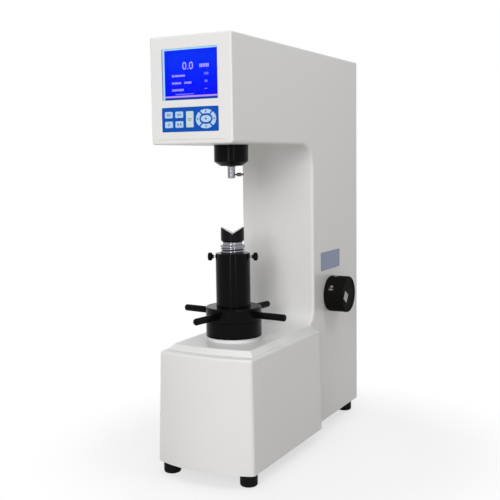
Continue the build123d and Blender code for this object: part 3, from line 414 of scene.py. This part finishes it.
def turnProfile(bm, points, steps, matrix=Matrix.Identity(4)):
    # spins a half section of (radius, height) points in millimetres about Z, closed at its poles
    before = set(bm.verts)
    line = [bm.verts.new((radius * mm, 0, height * mm)) for radius, height in points]
    edges = [bm.edges.new(pair) for pair in zip(line, line[1:])]
    bmesh.ops.spin(bm, geom=line + edges, cent=(0, 0, 0), axis=(0, 0, 1), angle=2 * math.pi, steps=steps,
                   use_merge=True)
    fresh = [vert for vert in bm.verts if vert not in before]
    bmesh.ops.remove_doubles(bm, verts=fresh, dist=1e-6)
    fresh = [vert for vert in bm.verts if vert not in before]
    faces = list({face for vert in fresh for face in vert.link_faces})
    bmesh.ops.recalc_face_normals(bm, faces=faces)
    bmesh.ops.transform(bm, matrix=matrix, verts=fresh)
    return faces


def roundCorner(points, index, radius, count=4):
    # swaps one corner of a profile for an arc
    before, corner, after = (Vector(points[index + step]) for step in (-1, 0, 1))
    toBefore = (before - corner).normalized()
    toAfter = (after - corner).normalized()
    half = toBefore.angle(toAfter) / 2
    start = corner + toBefore * radius / math.tan(half)
    end = corner + toAfter * radius / math.tan(half)
    centre = corner + (toBefore + toAfter).normalized() * radius / math.sin(half)
    arc = []
    for step in range(count + 1):
        point = start.lerp(end, step / count)
        arc.append(tuple(centre + (point - centre).normalized() * radius))
    return points[:index] + arc + points[index + 1:]


copySettings = {"weld": 0.002, "flatDegrees": 0.8, "sharpDegrees": 32, "segments": 2}


def dressedCopy(nodeName, body, width):
    # a clean copy of a CAD piece with small rounds along its sharp edges
    s = copySettings
    bm = bmesh.new()
    bm.from_mesh(nodes[nodeName].data)
    bmesh.ops.remove_doubles(bm, verts=bm.verts, dist=s["weld"] * mm)
    bmesh.ops.dissolve_limit(bm, angle_limit=math.radians(s["flatDegrees"]), verts=bm.verts, edges=bm.edges)
    sharp = [edge for edge in bm.edges
             if len(edge.link_faces) == 2 and edge.calc_face_angle(0) > math.radians(s["sharpDegrees"])]
    roundEdges(bm, sharp, width, s["segments"])
    pieceName = nodeName + "Dressed"
    piece = addPiece(pieceName, meshFrom(bm, pieceName), body, [nodeFinishes[nodeName]])
    piece.modifiers.new("evenNormals", "WEIGHTED_NORMAL").keep_sharp = True
    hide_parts(nodeName)
    return piece


# Edge rounds, by body and width, for turned pieces, covers and plates

edgeRounds = {
    "v_anvil": ("screw", 0.35), "dust_sleeve": ("screw", 0.5), "handwheel_hub": ("handwheel", 0.6),
    "handwheel_flange": ("body", 0.5), "thrust_seat": ("body", 0.4), "spindle_guard": ("body", 0.5),
    "selector_index_ring": ("body", 0.2), "head_front_cover": ("body", 0.6),
    "selector_pointer": ("selector", 0.2), "side_plate": ("body", 0.25), "rear_cover": ("body", 0.5),
}
notchLean = {"low": 0.80, "high": 0.93}
for nodeName, (bodyName, width) in edgeRounds.items():
    piece = dressedCopy(nodeName, bodyName, width)
    if nodeName == "v_anvil":
        # the two faces of the notch lean 60 degrees from upright and are ground bright
        piece.data.materials.append(groundSteel)
        for face in piece.data.polygons:
            if notchLean["low"] < face.normal.z < notchLean["high"]:
                face.material_index = 1
print("edges rounded:", len(edgeRounds))


# Elevating screw with its thread

screwSettings = {"crest": 21.1, "root": 19.1, "pitch": 5.0, "threadStart": 65.0, "threadEnd": 384.0,
                 "top": 387.0, "neck": 17.0, "anvilSeat": 392.0, "bottom": 60.0, "flankStart": 0.22,
                 "crestStart": 0.36, "overlap": 0.5, "collarEdge": 0.6, "tailEdge": 1.5, "weld": 0.004,
                 "spareTurns": 2, "stepsPerTurn": 40, "plainSteps": 64, "sharpAngle": 50}


def makeThreadedScrew(s):
    bm = bmesh.new()
    p = s["pitch"]
    # flankStart and crestStart are shares of the pitch
    tooth = [(s["root"], 0.0), (s["root"], s["flankStart"] * p), (s["crest"], s["crestStart"] * p),
             (s["crest"], (1 - s["crestStart"]) * p), (s["root"], (1 - s["flankStart"]) * p), (s["root"], p)]
    turns = int((s["threadEnd"] - s["threadStart"]) / p) + s["spareTurns"]
    line = [bm.verts.new((radius * mm, 0, (s["threadStart"] - p + z) * mm)) for radius, z in tooth]
    edges = [bm.edges.new(pair) for pair in zip(line, line[1:])]
    bmesh.ops.spin(bm, geom=line + edges, cent=(0, 0, 0), axis=(0, 0, 1), angle=2 * math.pi * turns,
                   dvec=(0, 0, p * mm / s["stepsPerTurn"]), steps=s["stepsPerTurn"] * turns)
    bmesh.ops.remove_doubles(bm, verts=bm.verts, dist=s["weld"] * mm)
    for z, up in ((s["threadStart"], -1), (s["threadEnd"], 1)):
        geom = list(bm.verts) + list(bm.edges) + list(bm.faces)
        cut = bmesh.ops.bisect_plane(bm, geom=geom, plane_co=(0, 0, z * mm), plane_no=(0, 0, up),
                                     clear_outer=True)
        rim = [item for item in cut["geom_cut"] if isinstance(item, bmesh.types.BMEdge)]
        bmesh.ops.contextual_create(bm, geom=rim)
    bmesh.ops.recalc_face_normals(bm, faces=bm.faces)
    collarStart = s["threadEnd"] - s["overlap"]
    collar = [(0, collarStart), (s["crest"], collarStart), (s["crest"], s["top"] - s["collarEdge"]),
              (s["crest"] - s["collarEdge"], s["top"]), (s["neck"], s["top"]), (s["neck"], s["anvilSeat"]),
              (0, s["anvilSeat"])]
    for face in turnProfile(bm, collar, s["plainSteps"]):
        face.material_index = 1
    tailEnd = s["threadStart"] + s["overlap"]
    tail = [(0, s["bottom"]), (s["root"] - s["tailEdge"], s["bottom"]),
            (s["root"], s["bottom"] + s["tailEdge"]), (s["root"], tailEnd), (0, tailEnd)]
    turnProfile(bm, tail, s["plainSteps"])
    piece = addPiece("threadedScrew", meshFrom(bm, "threadedScrew"), "screw",
                     [threadSteel, groundSteel], s["sharpAngle"])
    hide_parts("elevating_screw")


makeThreadedScrew(screwSettings)
print("screw thread cut")


# Handwheel rods with domed ends

rodSettings = {"radius": 5.95, "reach": 107.2, "root": 45.0, "neckEnd": 50.0, "neckSlopeEnd": 51.0,
               "neckStep": 0.5, "height": 267.9, "firstTurn": -7.4, "count": 4, "dome": 2.6, "steps": 40}


def makeRods(s):
    bm = bmesh.new()
    neck = s["radius"] - s["neckStep"]
    profile = [(0, s["root"]), (neck, s["root"]), (neck, s["neckEnd"]), (s["radius"], s["neckSlopeEnd"]),
               (s["radius"], s["reach"]), (0, s["reach"])]
    profile = roundCorner(profile, 4, s["dome"], 6)
    for index in range(s["count"]):
        turn = turned(s["firstTurn"] + 360 / s["count"] * index, "Z")
        turnProfile(bm, profile, s["steps"], moved(0, 0, s["height"]) @ turn @ turned(90, "Y"))
    piece = addPiece("handwheelRods", meshFrom(bm, "handwheelRods"), "handwheel", [blackRods])
    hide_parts("handwheel_handles")


makeRods(rodSettings)


# Thumb screws of the sleeve: a bright shank and a dark domed head with a dimple

thumbSettings = {"height": 366.4, "turn": 20.0, "tip": 21.3, "shank": 1.95, "shankOverlap": 0.2,
                 "headStart": 33.8, "headEnd": 43.9, "head": 7.1, "waist": 3.6, "waistShare": 0.18,
                 "flareShare": 0.34, "domeDrop": 1.0, "dimpleRim": 0.45, "dimpleFloor": 0.4,
                 "dimpleDepth": 0.5, "outerRound": 1.6, "innerRound": 1.2, "shankSteps": 24, "headSteps": 48}


def makeThumbScrew(s, name, nodeName, turnAngle):
    bm = bmesh.new()
    start, end = s["headStart"], s["headEnd"]
    length = end - start
    shankEnd = start + s["shankOverlap"]
    dimpleEnd = end - s["dimpleDepth"]
    shank = [(0, s["tip"]), (s["shank"], s["tip"]), (s["shank"], shankEnd), (0, shankEnd)]
    head = [(0, start), (s["waist"], start), (s["waist"], start + length * s["waistShare"]),
            (s["head"], start + length * s["flareShare"]), (s["head"], end - s["domeDrop"]),
            (s["head"] * s["dimpleRim"], end), (s["head"] * s["dimpleFloor"], dimpleEnd), (0, dimpleEnd)]
    head = roundCorner(head, 4, s["outerRound"], 4)
    head = roundCorner(head, 3, s["innerRound"], 3)
    place = moved(0, 0, s["height"]) @ turned(turnAngle, "Z") @ turned(90, "Y")
    shankFaces = turnProfile(bm, shank, s["shankSteps"], place)
    turnProfile(bm, head, s["headSteps"], place)
    for face in shankFaces:
        face.material_index = 1
    piece = addPiece(name, meshFrom(bm, name), nodeName, [blackRods, groundSteel])
    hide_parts(nodeName)


makeThumbScrew(thumbSettings, "thumbScrewRight", "sleeve_screw_right", thumbSettings["turn"])
makeThumbScrew(thumbSettings, "thumbScrewLeft", "sleeve_screw_left", thumbSettings["turn"] + 180)
print("handwheel rods and thumb screws made")


# Rubber feet: rounded discs with a moulding line

footSettings = {"radius": 14.75, "height": 21.95, "round": 3.8, "lineDepth": 0.25, "lineShare": 0.52,
                "lineHalf": 0.4, "steps": 48,
                "places": [(-74.4, -92.0), (74.4, -92.0), (-55.4, 381.0), (55.4, 381.0)]}


def makeFeet(s):
    bm = bmesh.new()
    middle = s["height"] * s["lineShare"]
    profile = [(0, 0), (s["radius"], 0), (s["radius"], middle - s["lineHalf"]),
               (s["radius"] - s["lineDepth"], middle), (s["radius"], middle + s["lineHalf"]),
               (s["radius"], s["height"]), (0, s["height"])]
    profile = roundCorner(profile, 5, s["round"], 5)
    profile = roundCorner(profile, 1, s["round"], 5)
    for x, y in s["places"]:
        turnProfile(bm, profile, s["steps"], moved(x, y, 0))
    piece = addPiece("rubberFeet", meshFrom(bm, "rubberFeet"), "body", [footRubber])
    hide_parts("feet")


makeFeet(footSettings)


# Display: a thin window, and what the display shows behind it

windowSettings = {"front": -124.9, "thickness": 1.2, "left": -56.7, "right": 53.5, "bottom": 624.9,
                  "top": 713.3, "edge": 0.15}

readoutSettings = {
    "plane": -122.4, "thickness": 0.05, "barShare": 0.62,
    # words, x, z, size
    "numbers": [("0.0", -8.0, 681.6, 17.0), ("150", 25.5, 668.4, 5.4), ("05", 25.5, 656.6, 5.4)],
    # left, right, bottom, top, count of bars
    "bars": [(14.0, 31.5, 678.6, 684.0, 6), (-37.5, -13.0, 665.6, 668.8, 10), (-37.5, -20.0, 654.2, 657.4, 7),
             (-14.5, -1.0, 654.2, 657.4, 6), (-37.5, -15.5, 643.2, 646.6, 9), (22.5, 28.0, 644.8, 645.7, 3),
             (-31.0, 3.0, 637.6, 638.6, 14)],
}


def makeBlock(bm, low, high):
    made = bmesh.ops.create_cube(bm, size=1.0)["verts"]
    size = [(b - a) * mm for a, b in zip(low, high)]
    centre = [(a + b) / 2 * mm for a, b in zip(low, high)]
    bmesh.ops.scale(bm, vec=size, verts=made)
    bmesh.ops.translate(bm, vec=centre, verts=made)
    return made


def makeWindow(s):
    bm = bmesh.new()
    makeBlock(bm, (s["left"], s["front"], s["bottom"]), (s["right"], s["front"] + s["thickness"], s["top"]))
    roundEdges(bm, list(bm.edges), s["edge"], 1)
    piece = addPiece("displayWindow", meshFrom(bm, "displayWindow"), "body", [windowFilm])
    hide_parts("display_window")


def addNumber(bm, words, size, thickness, place):
    # plain extruded numbers, laid into bm at a place
    curve = bpy.data.curves.new("numberCurve", "FONT")
    curve.body = words
    curve.size = size * mm
    curve.extrude = thickness * mm
    curve.resolution_u = 3
    curve.align_x = "CENTER"
    curve.align_y = "CENTER"
    holder = addObject("numberHolder", curve)
    bpy.context.view_layer.update()
    mesh = bpy.data.meshes.new_from_object(holder.evaluated_get(bpy.context.evaluated_depsgraph_get()))
    bpy.data.objects.remove(holder)
    mesh.transform(place)
    bm.from_mesh(mesh)
    bpy.data.meshes.remove(mesh)


def makeReadout(s):
    bm = bmesh.new()
    for words, x, z, size in s["numbers"]:
        addNumber(bm, words, size, s["thickness"], moved(x, s["plane"], z) @ turned(90, "X"))
    front, back = s["plane"] - s["thickness"], s["plane"] + s["thickness"]
    for x0, x1, z0, z1, count in s["bars"]:
        step = (x1 - x0) / count
        for index in range(count):
            left = x0 + step * index
            makeBlock(bm, (left, front, z0), (left + step * s["barShare"], back, z1))
    addPiece("displayReadout", meshFrom(bm, "displayReadout"), "body", [litText])


makeWindow(windowSettings)
makeReadout(readoutSettings)


# Keys: a plain printed sign on each

keySettings = {"front": -129.8, "ink": 0.06, "middleX": -1.8, "middleZ": 598.0, "ringHole": 0.62}

# sides of the circle that makes each kind, and its turn
signKinds = {"up": (3, 90), "down": (3, -90), "left": (3, 180), "right": (3, 0), "dot": (20, 0),
             "ring": (28, 0)}

# kind, place from the middle of the keypad, width, height
keySigns = {
    "key_upper_left": [("bar", -39.0, 9.2, 7.4, 0.8), ("bar", -39.0, 7.7, 7.4, 0.8),
                       ("bar", -39.0, 6.2, 7.4, 0.8)],
    "key_upper_right": [("bar", x, 7.7, 1.0, 3.8) for x in (-22.6, -20.5, -18.3, -16.2)],
    "key_lower_left": [("ring", -39.0, -7.6, 4.4, 4.4)],
    "key_lower_right": [("bar", -21.8, -7.6, 2.6, 3.6), ("bar", -17.0, -7.6, 2.6, 3.6)],
    "key_tall": [("bar", 0.2, -1.4, 6.4, 1.0), ("left", -2.0, 1.0, 3.4, 3.4), ("bar", 1.8, 1.0, 3.4, 1.0)],
    "key_up": [("up", 29.8, 11.7, 4.2, 4.2)],
    "key_down": [("down", 29.8, -11.7, 4.2, 4.2)],
    "key_left": [("left", 14.6, 0.0, 4.2, 4.2)],
    "key_right": [("right", 45.0, 0.0, 4.2, 4.2)],
    "key_enter": [("dot", 29.8, 0.0, 3.4, 3.4)],
}


def addRoundSign(bm, s, kind, x, z, width):
    sides, turn = signKinds[kind]
    made = bmesh.ops.create_circle(bm, cap_ends=kind != "ring", segments=sides,
                                   radius=width / 2 * mm)["verts"]
    if kind == "ring":
        rim = [edge for edge in bm.edges if edge.verts[0] in made and edge.verts[1] in made]
        inner = bmesh.ops.extrude_edge_only(bm, edges=rim)["geom"]
        innerVerts = [item for item in inner if isinstance(item, bmesh.types.BMVert)]
        bmesh.ops.scale(bm, vec=(s["ringHole"], s["ringHole"], 1), verts=innerVerts)
        made = made + innerVerts
    faces = list({face for vert in made for face in vert.link_faces})
    lifted = bmesh.ops.extrude_face_region(bm, geom=faces)["geom"]
    upper = [item for item in lifted if isinstance(item, bmesh.types.BMVert)]
    bmesh.ops.translate(bm, vec=(0, 0, s["ink"] * mm), verts=upper)
    place = moved(x, s["front"], z) @ turned(90, "X") @ turned(turn, "Z")
    bmesh.ops.transform(bm, matrix=place, verts=made + upper)


def makeSign(s, keyName, shapes):
    bm = bmesh.new()
    for kind, dx, dz, width, height in shapes:
        x, z = s["middleX"] + dx, s["middleZ"] + dz
        if kind == "bar":
            makeBlock(bm, (x - width / 2, s["front"] - s["ink"], z - height / 2),
                      (x + width / 2, s["front"], z + height / 2))
        else:
            addRoundSign(bm, s, kind, x, z, width)
    bmesh.ops.recalc_face_normals(bm, faces=bm.faces)
    addPiece(keyName + "_sign", meshFrom(bm, keyName + "_sign"), keyName, [markInk])


for keyName, shapes in keySigns.items():
    makeSign(keySettings, keyName, shapes)
print("display and key signs made")


# Force selector: a dished drum with plain numbers round it, a load and its force side by side

selectorSettings = {"y": 258.2, "z": 269.7, "radius": 35.1, "back": 76.65, "face": 114.35, "edge": 2.2,
                    "dishRadius": 31.5, "dish": 1.15, "lip": 0.5, "steps": 96, "numberX": 90.0, "size": 5.0,
                    "numberThickness": 0.06, "numberLift": 0.02, "rowTurn": 4.6,
                    "numbers": [("60", "588", 35), ("100", "981", 95), ("150", "1471", 155)]}


def makeDrumNumbers(s):
    bm = bmesh.new()
    lift = moved(0, 0, s["radius"] + s["numberLift"])
    for load, force, angle in s["numbers"]:
        for words, row in ((load, -1), (force, 1)):
            # each row lies flat on the drum: it reads along X and its face points outwards
            turn = turned(angle - 90 + row * s["rowTurn"], "X")
            place = moved(s["numberX"], s["y"], s["z"]) @ turn @ lift
            addNumber(bm, words, s["size"], s["numberThickness"], place)
    addPiece("selectorNumbers", meshFrom(bm, "selectorNumbers"), "selector", [numeralWhite])


def makeKnob(s):
    bm = bmesh.new()
    dishFloor = s["face"] - s["dish"]
    profile = [(0, s["back"]), (s["radius"], s["back"]), (s["radius"], s["face"]),
               (s["dishRadius"], s["face"]), (s["dishRadius"] - s["lip"], dishFloor), (0, dishFloor)]
    profile = roundCorner(profile, 2, s["edge"], 6)
    profile = roundCorner(profile, 1, s["edge"], 5)
    turnProfile(bm, profile, s["steps"], moved(0, s["y"], s["z"]) @ turned(90, "Y"))
    piece = addPiece("selectorDrum", meshFrom(bm, "selectorDrum"), "selector", [knobPlastic])
    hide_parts("selector_knob")


makeDrumNumbers(selectorSettings)
makeKnob(selectorSettings)


# Set screw in the front of the fixed collar, as (radius, rise above the collar's side)

setScrewSettings = {"collarRadius": 48.4, "height": 240.5, "turn": -62.0, "steps": 24,
                    "section": [(0, -0.6), (1.3, -0.6), (1.3, 0.05), (2.6, 0.12), (3.1, -0.1), (0, -0.9)]}


def makeSetScrew(s):
    bm = bmesh.new()
    profile = [(radius, s["collarRadius"] + rise) for radius, rise in s["section"]]
    place = moved(0, 0, s["height"]) @ turned(s["turn"], "Z") @ turned(90, "Y")
    turnProfile(bm, profile, s["steps"], place)
    addPiece("collarSetScrew", meshFrom(bm, "collarSetScrew"), "body", [blackOxide])


makeSetScrew(setScrewSettings)
print("selector and set screw made")


# Rear cover screws: low domed heads with a cross slot

coverScrewSettings = {"radius": 3.2, "height": 1.6, "slotWidth": 0.9, "slotLength": 3.4, "slotDepth": 0.9,
                      "flatShare": 0.82, "domeDrop": 0.25, "rimHeight": 0.4, "sunk": 0.3, "crossSunk": 0.2,
                      "crossRise": 0.25, "steps": 28, "outward": (0, 1, 0), "columns": (-67.5, 67.5),
                      "y": 405.0, "rows": (45.0, 215.0, 385.0, 555.0, 715.0)}


def makeCoverScrews(s):
    bm = bmesh.new()
    lay = Vector((0, 0, 1)).rotation_difference(Vector(s["outward"])).to_matrix().to_4x4()
    slotFloor = s["height"] - s["slotDepth"]
    dome = [(0, slotFloor), (s["slotLength"] / 2, slotFloor), (s["slotLength"] / 2, s["height"]),
            (s["radius"] * s["flatShare"], s["height"] - s["domeDrop"]), (s["radius"], s["rimHeight"]),
            (s["radius"], -s["sunk"]), (0, -s["sunk"])]
    for x in s["columns"]:
        for z in s["rows"]:
            place = moved(x, s["y"], z) @ lay
            turnProfile(bm, dome, s["steps"], place)
            for long, wide in ((s["slotLength"], s["slotWidth"]), (s["slotWidth"], s["slotLength"])):
                made = makeBlock(bm, (-long / 2, -wide / 2, slotFloor - s["crossSunk"]),
                                 (long / 2, wide / 2, slotFloor + s["crossRise"]))
                bmesh.ops.transform(bm, matrix=place, verts=made)
    addPiece("rearCoverScrews", meshFrom(bm, "rearCoverScrews"), "body", [groundSteel])


makeCoverScrews(coverScrewSettings)


# Mains inlet blades

bladeSettings = {"x": 14.0, "z": 78.0, "width": 4.0, "thickness": 2.0, "back": 390.2, "tip": 401.5,
                 "edge": 0.4, "steps": [(-7.0, -2.0), (0.0, 2.5), (7.0, -2.0)]}


def makeInletBlades(s):
    bm = bmesh.new()
    for dx, dz in s["steps"]:
        x, z = s["x"] + dx, s["z"] + dz
        made = makeBlock(bm, (x - s["thickness"] / 2, s["back"], z - s["width"] / 2),
                         (x + s["thickness"] / 2, s["tip"], z + s["width"] / 2))
        roundEdges(bm, list({edge for vert in made for edge in vert.link_edges}), s["edge"], 2)
    addPiece("inletBlades", meshFrom(bm, "inletBlades"), "body", [groundSteel])


makeInletBlades(bladeSettings)
print("cover screws and inlet blades placed")


# Stage: pale floor, white surroundings, soft lamps and the camera

def whiteForEye(tree, plain, bright):
    # camera, glossy and transmission rays see the bright shader, and all others the plain one
    path = addNode(tree, "ShaderNodeLightPath")
    eye = path.outputs["Is Camera Ray"]
    for ray in ("Is Glossy Ray", "Is Transmission Ray"):
        either = addNode(tree, "ShaderNodeMath", {"operation": "MAXIMUM"})
        tree.links.new(eye, either.inputs[0])
        tree.links.new(path.outputs[ray], either.inputs[1])
        eye = either.outputs[0]
    mix = addNode(tree, "ShaderNodeMixShader")
    tree.links.new(eye, mix.inputs["Fac"])
    tree.links.new(plain.outputs[0], mix.inputs[1])
    tree.links.new(bright.outputs[0], mix.inputs[2])
    return mix


worldSettings = {"colour": (0.97, 0.985, 1.0, 1), "strength": 0.27}


def makeWorld(s):
    world = bpy.data.worlds.new("studioWorld")
    bpy.context.scene.world = world
    world.use_nodes = True
    tree = world.node_tree
    tree.nodes.clear()
    plain = addNode(tree, "ShaderNodeBackground", Color=s["colour"], Strength=s["strength"])
    bright = addNode(tree, "ShaderNodeBackground", Color=(1, 1, 1, 1), Strength=1.0)
    output = addNode(tree, "ShaderNodeOutputWorld")
    tree.links.new(whiteForEye(tree, plain, bright).outputs[0], output.inputs["Surface"])


floorSettings = {"halfWidth": 12.0, "dim": (0.46, 0.44, 0.41, 1), "pale": (0.86, 0.86, 0.86, 1),
                 "middle": (0.05, 0.12, 0), "fadeStart": 0.24, "fadeEnd": 0.50, "whiteNear": 0.66}


def makeFloor(s):
    # near the object the floor takes its shadow, and further out it is plain white: bounced light
    # meets a dimmer floor, so that the undersides keep their shade
    bm = bmesh.new()
    bmesh.ops.create_grid(bm, x_segments=1, y_segments=1, size=s["halfWidth"])
    mesh = meshFrom(bm, "studioFloor")
    floor = addObject("studioFloor", mesh)
    material = bpy.data.materials.new("paleFloor")
    material.use_nodes = True
    tree = material.node_tree
    tree.nodes.clear()
    dim = addNode(tree, "ShaderNodeBsdfDiffuse", Color=s["dim"])
    plain = addNode(tree, "ShaderNodeBsdfDiffuse", Color=s["pale"])
    bright = addNode(tree, "ShaderNodeEmission", Color=(1, 1, 1, 1), Strength=1.0)
    coords = addNode(tree, "ShaderNodeTexCoord")
    far = addNode(tree, "ShaderNodeVectorMath", {"operation": "DISTANCE"})
    far.inputs[1].default_value = s["middle"]
    tree.links.new(coords.outputs["Object"], far.inputs[0])
    fade = addNode(tree, "ShaderNodeMapRange", {"interpolation_type": "SMOOTHSTEP"}, From_Min=s["fadeStart"],
                   From_Max=s["fadeEnd"], To_Min=s["whiteNear"], To_Max=1.0)
    tree.links.new(far.outputs["Value"], fade.inputs["Value"])
    shown = addNode(tree, "ShaderNodeMixShader")
    tree.links.new(fade.outputs["Result"], shown.inputs["Fac"])
    tree.links.new(plain.outputs[0], shown.inputs[1])
    tree.links.new(bright.outputs[0], shown.inputs[2])
    output = addNode(tree, "ShaderNodeOutputMaterial")
    tree.links.new(whiteForEye(tree, dim, shown).outputs[0], output.inputs["Surface"])
    mesh.materials.append(material)


lampSettings = {
    "keyLamp": {"place": (0.45, -2.15, 1.10), "target": (0, 0, 0.40), "size": (0.9, 0.9), "power": 23.5,
                "colour": (1, 0.99, 0.98), "mirrored": False},
    "topLamp": {"place": (0.2, -0.3, 2.4), "target": (0, 0.1, 0.3), "size": (1.4, 1.4), "power": 12,
                "colour": (1, 1, 1), "mirrored": True},
    "sideLamp": {"place": (0.95, 0.12, 1.30), "target": (0, 0.1, 0.62), "size": (0.5, 0.5), "power": 2.6,
                 "colour": (1, 0.995, 0.99), "mirrored": False},
    "rearLamp": {"place": (-0.5, 2.9, 1.3), "target": (0, 0.3, 0.4), "size": (1.2, 1.2), "power": 22,
                 "colour": (1, 1, 1), "mirrored": False},
    "farSideLamp": {"place": (-2.7, 0.95, 0.9), "target": (0, 0.2, 0.4), "size": (1.0, 1.0), "power": 16,
                    "colour": (1, 1, 1), "mirrored": False},
    "leftStrip": {"place": (0.42, -2.16, 0.55), "target": (0, 0, 0.45), "size": (0.10, 1.0), "power": 5,
                  "colour": (0.97, 0.98, 1), "mirrored": True},
    "rightStrip": {"place": (1.61, -1.50, 0.55), "target": (0, 0, 0.45), "size": (0.10, 1.0), "power": 3,
                   "colour": (0.93, 0.95, 1), "mirrored": True},
}


def makeLamps():
    for name, s in lampSettings.items():
        data = bpy.data.lights.new(name, "AREA")
        data.shape = "RECTANGLE"
        data.size, data.size_y = s["size"]
        data.energy = s["power"]
        data.color = s["colour"]
        lamp = addObject(name, data)
        lamp.visible_glossy = s["mirrored"]     # a lamp that isn't mirrored doesn't show in polished faces
        lamp.location = s["place"]
        direction = Vector(s["target"]) - Vector(s["place"])
        lamp.rotation_euler = direction.to_track_quat("-Z", "Y").to_euler()


cameraSettings = {"place": (0.7203, -1.2989, 0.5319), "yaw": 27.798, "pitch": 5.986, "roll": -0.817,
                  "lens": 61.9, "sensor": 36.0, "shiftX": -0.0016, "shiftY": 0.0013,
                  "farClip": 50}


def makeCamera(s):
    yaw, pitch, roll = (math.radians(s[key]) for key in ("yaw", "pitch", "roll"))
    forward = Vector((-math.sin(yaw) * math.cos(pitch), math.cos(yaw) * math.cos(pitch), -math.sin(pitch)))
    right = Vector((math.cos(yaw), math.sin(yaw), 0))
    up = right.cross(forward)
    turnedRight = right * math.cos(roll) + up * math.sin(roll)
    turnedUp = up * math.cos(roll) - right * math.sin(roll)
    data = bpy.data.cameras.new("camera")
    data.lens = s["lens"]
    data.sensor_width = s["sensor"]
    data.shift_x = s["shiftX"]
    data.shift_y = s["shiftY"]
    data.clip_end = s["farClip"]
    camera = addObject("camera", data)
    turn = Matrix((turnedRight, turnedUp, -forward)).transposed()
    camera.matrix_world = Matrix.Translation(s["place"]) @ turn.to_4x4()
    bpy.context.scene.camera = camera


makeWorld(worldSettings)
makeFloor(floorSettings)
makeLamps()
makeCamera(cameraSettings)
bpy.context.scene.view_settings.view_transform = "Standard"
print("stage set")
